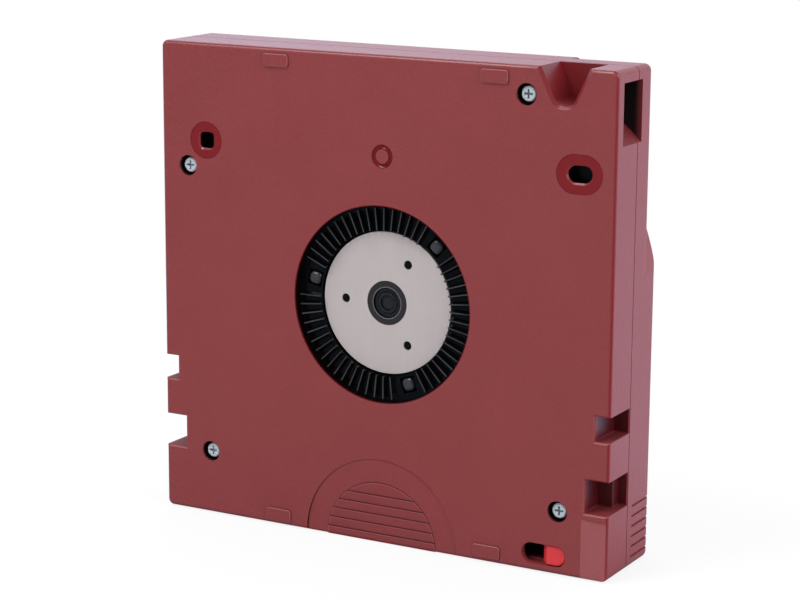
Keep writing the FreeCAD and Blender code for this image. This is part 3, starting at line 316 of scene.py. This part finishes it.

# %% [markdown]
# What stands proud gets painted light and shade. The thumb grip's ribs and the four stacking pads
# have a painted highlight on the crest and painted shade at the root, and the corner of the face
# under the lower right notch gets a pale painted sheen. The lips of the hole and the slot get a
# thin painted highlight.

# %% Case: painted light and shade on ribs, pads and lips
GRIP = place(53.8, 0, 0)                          # the thumb grip is a half disc round this point
GRIP_RADIUS, RIB_RADIUS, OFF_GRIP_RADIUS = 17.9, 12.85, 13.4
RIB_FIRST, RIB_PITCH, RIB_LAST = 1.8, 2.07, 10.6         # heights of the ribs' steps
CREST_START, CREST_END, ROOT_WIDE = -0.20, -0.02, 0.13
# the corner under the lower right notch gets a pale painted sheen
SHEEN_CORNER = place(99.7, -0.2, -1.0), place(104.9, 0.7, 12.4)
PAD_FOOT, PAD_SHOULDER, PAD_TOP = -0.02, -0.24, -0.385   # depths, so a pad's are below nought
HOLE_LIP, SLOT_LIP, LIP_END = 2.5, 2.2, 0.44
FACE_SIDE = 0.7


def rib_lines(start, end):
    """1 on a band beside each rib's step, from start to end above it."""
    first = (RIB_FIRST - RIB_PITCH + start) * MM
    turns = math_of(add, "DIVIDE", math_of(add, "SUBTRACT", up, first), RIB_PITCH * MM)
    band = math_of(add, "LESS_THAN", math_of(add, "FRACT", turns), (end - start) / RIB_PITCH)
    straight = all_of(add, [band, math_of(add, "LESS_THAN", up, RIB_LAST * MM),
                            in_land(add, point, GRIP, RIB_RADIUS)])
    return any_of(add, [straight, ring_of(add, point, GRIP, RIB_RADIUS + end, RIB_RADIUS + start)])


def between(start, end):
    """1 between two depths below the bottom face."""
    return all_of(add, [math_of(add, "LESS_THAN", depth, end * MM),
                        math_of(add, "GREATER_THAN", depth, start * MM)])


# thin painted highlight on the lips of the hole and the slot
lip_highlights = any_of(add, [in_land(add, point, HOLE, HOLE_LIP), in_land(add, point, SLOT, SLOT_LIP, SLOT_REACH)])
lip_highlights = all_of(add, [lip_highlights, deeper_than(0.12, 0.18), math_of(add, "LESS_THAN", depth, LIP_END * MM)])
near_face = math_of(add, "LESS_THAN", depth, FACE_SIDE * MM)
off_grip = math_of(add, "SUBTRACT", 1.0, in_land(add, point, GRIP, OFF_GRIP_RADIUS))
# painted highlights on the crests and pads, and the corner's painted sheen
highlights_and_sheen = any_of(add, [all_of(add, [rib_lines(CREST_START, CREST_END), near_face]),
                      in_box(add, point, *SHEEN_CORNER),
                      all_of(add, [between(PAD_TOP, PAD_SHOULDER), off_grip])])
# painted shade at the ribs' roots, round the grip and on the pads' flanks
root_shade = any_of(add, [rib_lines(0.0, ROOT_WIDE),
                     ring_of(add, point, GRIP, GRIP_RADIUS, GRIP_RADIUS - ROOT_WIDE),
                     all_of(add, [between(PAD_SHOULDER, PAD_FOOT), off_grip])])
root_shade = all_of(add, [root_shade, near_face])
print("with ribs, pads and lips:", len(case_plastic.node_tree.nodes), "nodes")

# %% [markdown]
# Two noises of different size give the pebble, which is a bump of a tenth of a millimetre: too
# fine for the mesh, and it only has to catch the light. A slow third noise gives the slight clouds
# that large flat mouldings have. Every mask then lays its own red over the skin's.

# %% Case: skin and colours
# both skin reds carry a painted sheen, paler than the polished red
SKIN_WITH_SHEEN, SKIN_DEEP_WITH_SHEEN = (0.252, 0.0385, 0.0400, 1), (0.222, 0.0295, 0.0310, 1)
POLISHED = (0.180, 0.0105, 0.0135, 1)
# painted highlights: crests, pads, the corner's sheen and the lips
PAINTED_HIGHLIGHT, LIP_HIGHLIGHT = (0.295, 0.0690, 0.0760, 1), (0.225, 0.0260, 0.0290, 1)
# painted shade: the roots and the notches' walls
ROOT_SHADE, SHADED = (0.080, 0.0070, 0.0090, 1), (0.070, 0.0030, 0.0045, 1)
# painted shade for the deep wells
WELL_SHADE = (0.004, 0.0008, 0.0010, 1)

pebble = add("TexNoise", Vector=point, Scale=2300.0, Detail=2.0, Roughness=0.55)
dimple = add("TexVoronoi", Vector=point, Scale=1400.0, settings={"feature": "SMOOTH_F1"})
cloud = add("TexNoise", Vector=point, Scale=60.0, Detail=3.0, Roughness=0.6)
textured = math_of(add, "SUBTRACT", 1.0, smooth)
height = math_of(add, "ADD", pebble, math_of(add, "MULTIPLY", dimple, 0.6))
bump = add("Bump", Strength=0.6, Distance=0.10 * MM, Height=math_of(add, "MULTIPLY", height, textured))

grain = stretched(add, pebble, 0.32, 0.68, 0.0, 0.6)
clouds = stretched(add, cloud, *NOISE_RANGE, 0.0, 0.4)
colour = laid_over(add, SKIN_DEEP_WITH_SHEEN, SKIN_WITH_SHEEN, math_of(add, "ADD", grain, clouds))
# painted highlights, painted sheen and painted shade are laid over the skin here
for mask, tint in ((smooth, POLISHED), (highlights_and_sheen, PAINTED_HIGHLIGHT), (lip_highlights, LIP_HIGHLIGHT), (root_shade, ROOT_SHADE),
                   (shaded, SHADED), (well_shade, WELL_SHADE)):
    colour = laid_over(add, colour, tint, mask)
print("with its colours:", len(case_plastic.node_tree.nodes), "nodes")

# %% [markdown]
# Gloss comes last. The skin is dull and the lands are glossy. The walls of the V notch and the side
# notches are in between, and the pocket and the notches' shelves are duller than the skin, or they
# would mirror the room in pale blue.

# %% Case: gloss
SKIN_ROUGH, POLISHED_ROUGH, SHELF_ROUGHER = 0.48, 0.22, 0.26
CLOUD_SHARE, WALLS_DULLED = 0.12, 0.6

hollow = any_of(add, [pocket, math_of(add, "SUBTRACT", notches, notch_walls)])
walls = math_of(add, "MULTIPLY", math_of(add, "ADD", vee, notch_walls), WALLS_DULLED)
glossy = math_of(add, "SUBTRACT", smooth, math_of(add, "ADD", hollow, walls))
gloss = math_of(add, "ADD", math_of(add, "MULTIPLY", cloud, CLOUD_SHARE), glossy)
rough = stretched(add, gloss, 0.0, 1 + CLOUD_SHARE, SKIN_ROUGH, POLISHED_ROUGH)
rough = math_of(add, "ADD", rough, math_of(add, "MULTIPLY", hollow, SHELF_ROUGHER))
shader = add("BsdfPrincipled", Base_Color=colour, Roughness=rough, Normal=bump, IOR=1.5)
add("OutputMaterial", Surface=shader)
for name in ("bottom_shell", "top_shell", "sliding_door"):
    wear(name, case_plastic)
print("case finish on", case_plastic.users, "pieces")


# %% [markdown]
# ## The reel: black glass-filled plastic and a ground steel plate
# The hub is moulded in a glossy black plastic, and every tooth's crest gets a thin painted
# highlight. Its boss ends in a dull grey ring round a cup, whose lip gets a pale painted highlight,
# and fine grooves are turned into the cup's floor. They are too small to need a mesh of their own,
# and black rings of painted shade in the finish show them.

# %% Finish of the hub
BOSS_RADIUS, CUP_RADIUS, LIP_INNER = 4.62, 3.40, 3.22
GROOVES, GROOVE_WIDE = (3.16, 2.46, 1.64), 0.18
TOOTH_TOP, TOOTH_SHOULDER = FACE_Y + 1.17 * MM, FACE_Y + 1.26 * MM
BLACK, BLACK_PALER = (0.0016, 0.0016, 0.0019, 1), (0.0034, 0.0034, 0.0038, 1)
BOSS_GREY, CUP_GREY = (0.023, 0.022, 0.023, 1), (0.019, 0.019, 0.023, 1)
# a painted highlight on the cup's lip, and black painted shade in the grooves
CUP_LIP_HIGHLIGHT, GROOVE_SHADE = (0.12, 0.12, 0.125, 1), (0.004, 0.004, 0.005, 1)
# a painted highlight on the teeth's crests
CREST_HIGHLIGHT = (0.050, 0.049, 0.053, 1)
GLOSS_ROUGH, NOISE_ROUGHER, DULL_ROUGHER = 0.13, 0.10, 0.35


def hub_finish():
    """Gloss black, with the dull grey end of the moulding's centre boss."""
    material, add = finish_named("hub_black")
    point = add("TexCoord", output=3)
    noise = add("TexNoise", Vector=point, Scale=3600.0, Detail=2.0)
    slow = add("TexNoise", Vector=point, Scale=120.0, Detail=2.0)
    cup = in_land(add, point, REEL, CUP_RADIUS)
    ring = math_of(add, "SUBTRACT", in_land(add, point, REEL, BOSS_RADIUS), cup)
    proud = stretched(add, coordinate(add, point, Y), TOOTH_TOP, TOOTH_SHOULDER, 1.0, 0.0)
    crest = all_of(add, [proud, stretched(add, slow, 0.3, 0.6, 0.4, 1.0)])
    lip = ring_of(add, point, REEL, CUP_RADIUS, LIP_INNER)
    layers = [(ring, BOSS_GREY), (cup, CUP_GREY), (lip, CUP_LIP_HIGHLIGHT)]
    for outer in GROOVES:
        layers.append((ring_of(add, point, REEL, outer, outer - GROOVE_WIDE), GROOVE_SHADE))
    colour = laid_over(add, BLACK, BLACK_PALER, slow)
    for mask, tint in (*layers, (crest, CREST_HIGHLIGHT)):
        colour = laid_over(add, colour, tint, mask)
    dull = math_of(add, "MULTIPLY", any_of(add, [ring, crest]), DULL_ROUGHER)
    rough = math_of(add, "ADD", math_of(add, "MULTIPLY", slow, NOISE_ROUGHER), dull)
    rough = math_of(add, "ADD", rough, GLOSS_ROUGH)
    bump = add("Bump", Strength=0.10, Distance=0.03 * MM, Height=noise)
    shader = add("BsdfPrincipled", Base_Color=colour, Normal=bump, IOR=1.5, Roughness=rough)
    add("OutputMaterial", Surface=shader)
    return material


wear("reel_hub", hub_finish())
print("hub wears", nodes["reel_hub"].data.materials[0].name)

# %% [markdown]
# The plate that the drive's magnet pulls is stamped from steel sheet and ground, so it has very
# fine lines in one direction and a soft, slightly warm sheen. A noise that is squeezed along one
# axis draws such lines, and the same noise moves the colour, the bump and the roughness.

# %% Finish of the clutch plate
LINE_SQUEEZE = (1.0, 1.0, 0.012)
LINES_TONE, CLOUD_TONE = 0.7, 0.3                 # shares of the two noises in the colour
STEEL_DARK, STEEL = (0.50, 0.445, 0.435, 1), (0.66, 0.590, 0.578, 1)


def ground_steel():
    material, add = finish_named("ground_steel")
    point = add("TexCoord", output=3)
    squeezed = add("Mapping", Vector=point, Scale=LINE_SQUEEZE)
    lines = add("TexNoise", Vector=squeezed, Scale=9000.0, Detail=3.0, Roughness=0.7)
    cloud = add("TexNoise", Vector=point, Scale=160.0, Detail=3.0)
    tone = math_of(add, "ADD", math_of(add, "MULTIPLY", lines, LINES_TONE),
                   math_of(add, "MULTIPLY", cloud, CLOUD_TONE))
    shader = add("BsdfPrincipled", Base_Color=laid_over(add, STEEL_DARK, STEEL, tone), Metallic=0.3,
                 Roughness=stretched(add, lines, *NOISE_RANGE, 0.40, 0.56),
                 Normal=add("Bump", Strength=0.10, Distance=0.02 * MM, Height=lines))
    add("OutputMaterial", Surface=shader)
    return material


wear("clutch_plate", ground_steel())
print("plate wears", nodes["clutch_plate"].data.materials[0].name)

# %% [markdown]
# Three feet of the spider show between the drive teeth. They are rounded posts with domed ends, so
# the ring and its feet are made again here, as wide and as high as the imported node. The ring is a
# rectangle spun about the reel's axis. Each foot is a block whose long edges are rounded first, and
# then the rim of its end.

# %% Shapes of the spider
SPIDER_LOW, SPIDER_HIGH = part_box("release_spider")
RING_THICK, RING_WIDE = 1.1 * MM, 3.7 * MM
RING_OUTER = (SPIDER_HIGH.x - SPIDER_LOW.x) / 2
RING_FRONT = SPIDER_HIGH.y - RING_THICK
FOOT_END, FOOT_SIZE = SPIDER_LOW.y, 2.95 * MM
FOOT_ROUND, FOOT_DOME = 1.10 * MM, 1.05 * MM
FOOT_CIRCLE = 17.35 * MM
FOOT_ANGLES = (48, 168, 288)


def piece_from(name, shape, material):
    """An object at the origin, with a finished shape as its mesh."""
    mesh = bpy.data.meshes.new(name)
    shape.to_mesh(mesh)
    shape.free()
    mesh.materials.append(material)
    piece = bpy.data.objects.new(name, mesh)
    bpy.context.scene.collection.objects.link(piece)
    return piece


def spun_ring(shape, inner, outer, start, end):
    corners = [shape.verts.new((REEL.x + radius, y, REEL.z))
               for radius, y in ((inner, start), (outer, start), (outer, end), (inner, end))]
    sides = [shape.edges.new((corners[index - 1], corners[index])) for index in range(4)]
    bmesh.ops.spin(shape, geom=corners + sides, cent=REEL, axis=(0, 1, 0), angle=math.tau, steps=96,
                   use_merge=True)


def domed_foot(shape, degrees, start, end):
    """A rounded post from its domed end at start to the ring, at an angle about the reel's axis."""
    middle = Vector((FOOT_CIRCLE, (start + end) / 2 - REEL.y, 0))
    turned = Matrix.Translation(REEL) @ Matrix.Rotation(-math.radians(degrees), 4, "Y")
    sizes = Matrix.Diagonal((FOOT_SIZE, end - start, FOOT_SIZE, 1))
    made = bmesh.ops.create_cube(shape, size=1.0, matrix=turned @ Matrix.Translation(middle) @ sizes)["verts"]
    edges = {edge for vertex in made for edge in vertex.link_edges}
    upright = [edge for edge in edges if abs(edge.verts[0].co.y - edge.verts[1].co.y) > MM]
    rounded = bmesh.ops.bevel(shape, geom=upright, offset=FOOT_ROUND, segments=6, profile=0.5,
                              affect="EDGES", material=-1)["verts"]
    rim = {edge for vertex in rounded for edge in vertex.link_edges
           if all(abs(corner.co.y - start) < 0.01 * MM for corner in edge.verts)}
    bmesh.ops.bevel(shape, geom=list(rim), offset=FOOT_DOME, segments=6, profile=0.5,
                    affect="EDGES", material=-1)


print("ring across", round(2 * RING_OUTER / MM, 2), "feet on a circle of", round(FOOT_CIRCLE / MM, 2))

# %% [markdown]
# The feet's ends are painted from black to a smoky grey, a painted highlight on the glossy domes.
# The finish reads only the depth, so it fades evenly round each dome. Ring and feet are one piece,
# as the packed ones are. It is built where that node is and hangs from the spider's body, and the
# node is hidden.

# %% The spider with its domed feet
SMOKE_END = FOOT_END + 0.7 * MM
# the grey is a painted highlight on the feet's domed ends
FOOT_BLACK, FOOT_HIGHLIGHT = (0.003, 0.003, 0.0034, 1), (0.048, 0.050, 0.056, 1)


def foot_finish():
    """Gloss black, going to a smoky grey painted highlight at the feet's rounded ends."""
    material, add = finish_named("foot_plastic")
    point = add("TexCoord", output=3)
    noise = add("TexNoise", Vector=point, Scale=900.0, Detail=2.0)
    end = stretched(add, coordinate(add, point, Y), FOOT_END, SMOKE_END, 1.0, 0.0, "SMOOTHSTEP")
    uneven = math_of(add, "ADD", math_of(add, "MULTIPLY", noise, 0.5), 0.7)
    colour = laid_over(add, FOOT_BLACK, FOOT_HIGHLIGHT, all_of(add, [end, uneven]))
    add("OutputMaterial", Surface=add("BsdfPrincipled", Base_Color=colour, Roughness=0.25, IOR=1.5))
    return material


shape = bmesh.new()
for angle in FOOT_ANGLES:
    domed_foot(shape, angle, FOOT_END, RING_FRONT)
for face in shape.faces:
    face.smooth = True
spun_ring(shape, RING_OUTER - RING_WIDE, RING_OUTER, RING_FRONT, SPIDER_HIGH.y)
bmesh.ops.recalc_face_normals(shape, faces=shape.faces)
spider = piece_from("domed_spider", shape, foot_finish())
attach(spider, "spider")
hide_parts("release_spider")
print("spider", len(spider.data.polygons), "faces, across", round(spider.dimensions.x / MM, 2))


# %% [markdown]
# ## Screws, tab and the pieces inside
# The four screws are zinc plated, bluish and bright, with painted shade that darkens them down in the
# driver's slots. The write-protect tab is a clear red, a little translucent, and stands out from the case.

# %% Finishes of the screws and the tab
SCREW_HEAD, SLOT_FLOOR = FACE_Y + 1.0 * MM, FACE_Y + 1.5 * MM
# the darker zinc is painted shade down in the driver's slots
ZINC, ZINC_SLOT_SHADE = (0.86, 0.95, 1.0, 1), (0.36, 0.41, 0.46, 1)
TAB_RED, TAB_PALER = (0.60, 0.028, 0.033, 1), (0.68, 0.041, 0.047, 1)


def screw_finish():
    material, add = finish_named("zinc_plate")
    point = add("TexCoord", output=3)
    noise = add("TexNoise", Vector=point, Scale=1800.0, Detail=3.0)
    # painted shade down in the slots
    slot_shade = stretched(add, coordinate(add, point, Y), SCREW_HEAD, SLOT_FLOOR)
    shader = add("BsdfPrincipled", Base_Color=laid_over(add, ZINC, ZINC_SLOT_SHADE, slot_shade), Metallic=0.45,
                 Roughness=stretched(add, noise, *NOISE_RANGE, 0.20, 0.36),
                 Normal=add("Bump", Strength=0.15, Distance=0.02 * MM, Height=noise))
    add("OutputMaterial", Surface=shader)
    return material


def tab_finish():
    material, add = finish_named("tab_red")
    point = add("TexCoord", output=3)
    noise = add("TexNoise", Vector=point, Scale=900.0, Detail=2.0)
    shader = add("BsdfPrincipled", Base_Color=laid_over(add, TAB_RED, TAB_PALER, noise), Roughness=0.38,
                 Normal=add("Bump", Strength=0.06, Distance=0.03 * MM, Height=noise), IOR=1.5,
                 Subsurface_Weight=0.2, Subsurface_Scale=0.6 * MM, Subsurface_Radius=(1.0, 0.2, 0.1))
    add("OutputMaterial", Surface=shader)
    return material


wear("case_screws", screw_finish())
wear("write_protect_tab", tab_finish())
print("screws and tab dressed")

# %% [markdown]
# Inside, the wound tape shows its edge as fine rings, which is a noise that knows only the distance
# from the reel's axis. The springs and the pin are bright metal, and the rest is plain plastic: a
# natural white for the mechanical pieces, green and black for the board and its chip.

# %% Finishes of the pieces inside
TAPE_DARK, TAPE_PALER = (0.030, 0.026, 0.023, 1), (0.058, 0.050, 0.044, 1)


def wound_tape():
    material, add = finish_named("wound_tape")
    point = add("TexCoord", output=3)
    centred = add("VectorMath", settings={"operation": "SUBTRACT"}, _0=point, _1=REEL)
    flat = add("VectorMath", settings={"operation": "MULTIPLY"}, _0=centred, _1=(1, 0, 1))
    radius = add("VectorMath", output=1, settings={"operation": "LENGTH"}, _0=flat)
    layers = add("TexNoise", settings={"noise_dimensions": "1D"}, W=radius, Scale=9000.0, Detail=2.0)
    shader = add("BsdfPrincipled", Base_Color=laid_over(add, TAPE_DARK, TAPE_PALER, layers), Roughness=0.3,
                 Normal=add("Bump", Strength=0.2, Distance=0.02 * MM, Height=layers))
    add("OutputMaterial", Surface=shader)
    return material


def bright_metal(name, colour, rough):
    material, add = finish_named(name)
    noise = add("TexNoise", Vector=add("TexCoord", output=3), Scale=2500.0, Detail=3.0)
    shader = add("BsdfPrincipled", Base_Color=(*colour, 1), Metallic=1.0,
                 Roughness=stretched(add, noise, *NOISE_RANGE, rough * 0.7, rough * 1.3),
                 Normal=add("Bump", Strength=0.12, Distance=0.02 * MM, Height=noise))
    add("OutputMaterial", Surface=shader)
    return material


def plain_plastic(name, colour, rough):
    """A plastic whose colour and gloss change slowly by a tenth or two."""
    material, add = finish_named(name)
    point = add("TexCoord", output=3)
    fine = add("TexNoise", Vector=point, Scale=4000.0, Detail=2.0)
    slow = add("TexNoise", Vector=point, Scale=120.0, Detail=2.0)
    darker, paler = ((*[part * factor for part in colour], 1) for factor in (0.9, 1.1))
    shader = add("BsdfPrincipled", Base_Color=laid_over(add, darker, paler, slow), IOR=1.5,
                 Roughness=stretched(add, slow, *NOISE_RANGE, rough * 0.85, rough * 1.2),
                 Normal=add("Bump", Strength=0.05, Distance=0.03 * MM, Height=fine))
    add("OutputMaterial", Surface=shader)
    return material


tape = wound_tape()
spring_wire = bright_metal("spring_wire", (0.58, 0.57, 0.55), 0.3)
natural = plain_plastic("natural_plastic", (0.62, 0.60, 0.55), 0.45)
for name in ("tape_pack", "leader_tape"):
    wear(name, tape)
for name in ("reel_upper_flange", "brake_button", "leader_pin_clip"):
    wear(name, natural)
wear("pin_retaining_springs", spring_wire)
wear("leader_pin", bright_metal("pin_steel", (0.72, 0.72, 0.73), 0.16))
wear("memory_board", plain_plastic("board_green", (0.02, 0.12, 0.05), 0.35))
wear("memory_chip", plain_plastic("chip_black", (0.02, 0.02, 0.022), 0.5))
print("nodes with one finish:", sum(len(node.data.materials) == 1 for node in nodes.values()))

# %% [markdown]
# ## Springs wound again
# A real coil spring shortens when its button or door comes towards it. A rigid coil would run into
# the moving piece. Each spring here is wound again in the imported one's own box as one rigid coil,
# and the imported spring is hidden. A circle that is spun about the axis and shifted a little at
# every step is the shortest way to a coil.

# %% Springs
STEPS_PER_TURN, WIRE_SIDES = 32, 12


def wound_spring(node, along, wire, turns):
    """A coil in a packed spring's own box, running from end to end of the box along its axis."""
    low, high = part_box(node)
    middle = (low + high) / 2
    full = (high - low).dot(along)
    length, radius = full - wire, (high.x - low.x - wire) / 2
    first = middle - along * (length / 2)
    upright = Matrix.Rotation(math.pi / 2 if along.z else 0.0, 4, "X")
    steps = int(turns * STEPS_PER_TURN)
    coil = bmesh.new()
    bmesh.ops.create_circle(coil, segments=WIRE_SIDES, radius=wire / 2,
                            matrix=Matrix.Translation(first + Vector((radius, 0, 0))) @ upright)
    bmesh.ops.spin(coil, geom=coil.verts[:] + coil.edges[:], cent=first, axis=along,
                   dvec=along * (length / steps), angle=math.tau * turns, steps=steps)
    bmesh.ops.holes_fill(coil, edges=[edge for edge in coil.edges if edge.is_boundary], sides=0)
    bmesh.ops.recalc_face_normals(coil, faces=coil.faces)
    for face in coil.faces:
        face.smooth = len(face.verts) == 4
    piece = piece_from("wound_" + node, coil, spring_wire)
    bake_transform(piece)
    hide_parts(node)
    print(piece.name, len(piece.data.polygons), "faces")


wound_spring("brake_spring", along=Vector((0, 1, 0)), wire=0.9 * MM, turns=4.5)
wound_spring("door_spring", along=Vector((0, 0, 1)), wire=0.35 * MM, turns=9)


# %% [markdown]
# ## Studio
# The cartridge stands on its rear edge on a pale table in a white room. Only the camera sees the
# white directly: the light on the object stays at a plain level, so that its colours come out as
# they are written. What is glossy mirrors a room that is dark on the viewer's side and bright, a
# little bluish, behind the object and to its left.

# %% Floor
NEAR_WHITE, FAR_WHITE = 0.10, 0.30    # metres from the object, between which its shadow fades out
DARK_SIDE, WHITE_SIDE = -0.02, 0.06   # metres along Y, from the viewer's side to behind the object
NEAR_SHARE, FAR_SHARE = 0.84, 1.0     # how white the table is at those two distances
DARK_MIRRORED, WHITE_MIRRORED = 0.12, 1.6
TABLE, TABLE_MIRRORED = (0.86, 0.86, 0.87, 1), (0.58, 0.76, 1.0, 1)
CAMERA_RAY, GLOSSY_RAY, CLEAR_RAY = 0, 3, 6              # outputs of a Light Path node


def pale_floor():
    """A pale table. Mirrors see it dark on the viewer's side, and as white as the wall behind."""
    material, add = finish_named("pale_table")
    point = add("TexCoord", output=3)
    away = add("VectorMath", output=1, settings={"operation": "LENGTH"}, _0=point)
    diffuse = add("BsdfDiffuse", Color=TABLE)
    white = add("Emission", Color=(1, 1, 1, 1), Strength=1.0)
    share = stretched(add, away, NEAR_WHITE, FAR_WHITE, NEAR_SHARE, FAR_SHARE)
    pictured = add("MixShader", _0=share, _1=diffuse, _2=white)
    brightness = stretched(add, coordinate(add, point, Y), DARK_SIDE, WHITE_SIDE,
                           DARK_MIRRORED, WHITE_MIRRORED)
    mirrored = add("Emission", Color=TABLE_MIRRORED, Strength=brightness)
    to_camera = add("MixShader", _0=add("LightPath", output=CAMERA_RAY), _1=diffuse, _2=pictured)
    to_mirrors = any_of(add, [add("LightPath", output=index) for index in (GLOSSY_RAY, CLEAR_RAY)])
    add("OutputMaterial", Surface=add("MixShader", _0=to_mirrors, _1=to_camera, _2=mirrored))
    return material


shape = bmesh.new()
bmesh.ops.create_grid(shape, x_segments=1, y_segments=1, size=2.5)      # half its width
floor = piece_from("table", shape, pale_floor())
floor.location.z = -0.2 * MM                      # just under the cartridge
print("table", tuple(floor.dimensions))

# %% [markdown]
# The world does three jobs at once. The camera sees plain white, the object is lit by an even room
# a little cooler than white, and mirrors see a wall that goes from dark to bright. A Light Path
# node tells these rays apart.

# %% World
FRONT_WALL, BACK_WALL, FRONT_MIRRORED = -0.35, 0.60, 0.10       # from dark in front to bright behind
LEFT_WALL, MIDDLE_WALL, LEFT_MIRRORED, BACK_MIRRORED = -0.62, -0.32, 2.8, 1.3
ROOM_LIGHT, ROOM_COLOUR, WALL_COLOUR = 0.62, (0.95, 0.96, 1.0, 1), (0.60, 0.82, 1.0, 1)

world = bpy.data.worlds.new("room")
bpy.context.scene.world = world
world.use_nodes = True
add = node_maker(world.node_tree)

direction = add("TexCoord")
behind = stretched(add, coordinate(add, direction, X), LEFT_WALL, MIDDLE_WALL, LEFT_MIRRORED, BACK_MIRRORED)
wall = stretched(add, coordinate(add, direction, Y), FRONT_WALL, BACK_WALL, FRONT_MIRRORED, behind)
plain = add("Background", Color=ROOM_COLOUR, Strength=ROOM_LIGHT)
mirrored = add("Background", Color=WALL_COLOUR, Strength=wall)
pictured = add("Background", Color=(1, 1, 1, 1), Strength=1.0)
lit = add("MixShader", _0=add("LightPath", output=GLOSSY_RAY), _1=plain, _2=mirrored)
lit = add("MixShader", _0=add("LightPath", output=CLEAR_RAY), _1=lit, _2=mirrored)
seen = add("MixShader", _0=add("LightPath", output=CAMERA_RAY), _1=lit, _2=pictured)
add("OutputWorld", Surface=seen)
print("world", world.name, len(world.node_tree.nodes), "nodes")

# %% [markdown]
# Three large soft lamps light the object: the main one above and to the left of the viewer, a
# second one far to the right, which lifts the narrow side, and a weaker one above and behind.

# %% Lamps
def soft_lamp(name, at, aim, size, power):
    lamp = bpy.data.lights.new(name, "AREA")
    lamp.shape = "RECTANGLE"
    lamp.size, lamp.size_y = size
    lamp.energy = power
    holder = bpy.data.objects.new(name, lamp)
    bpy.context.scene.collection.objects.link(holder)
    holder.location = at
    holder.rotation_euler = (Vector(aim) - Vector(at)).to_track_quat("-Z", "Y").to_euler()
    print(name, "at", at, "with", power, "W")


soft_lamp("key_left", at=(-0.30, -0.42, 0.80), aim=(0, 0, 0.05), size=(0.45, 0.45), power=5.2)
soft_lamp("fill_right", at=(0.95, -0.15, 0.45), aim=(0, 0, 0.05), size=(0.6, 0.8), power=5.2)
soft_lamp("top_back", at=(0.0, 0.45, 0.85), aim=(0, 0, 0.08), size=(0.9, 0.5), power=2.6)


# %% [markdown]
# ## Camera
# The viewer stands to the right of the face and a little higher than the cartridge, about half a
# metre away. A long lens keeps the upright edges nearly parallel.

# %% Camera
LENS = 106.07
VIEWER = (0.23455, FACE_Y - 0.4086, 0.15418)
LOOK_DOWN, LOOK_LEFT, ROLL = 12.260, 29.277, 0.379       # degrees

lens = bpy.data.cameras.new("camera")
lens.sensor_width = 36.0
lens.lens = LENS
lens.clip_start = 0.01
camera = bpy.data.objects.new("camera", lens)
bpy.context.scene.collection.objects.link(camera)
camera.location = VIEWER
turn = Euler((math.radians(90 - LOOK_DOWN), 0, math.radians(LOOK_LEFT))).to_matrix()
camera.rotation_euler = (turn @ Matrix.Rotation(math.radians(ROLL), 3, "Z")).to_euler()
bpy.context.scene.camera = camera
bpy.context.scene.view_settings.view_transform = "Standard"
print("camera at", VIEWER)
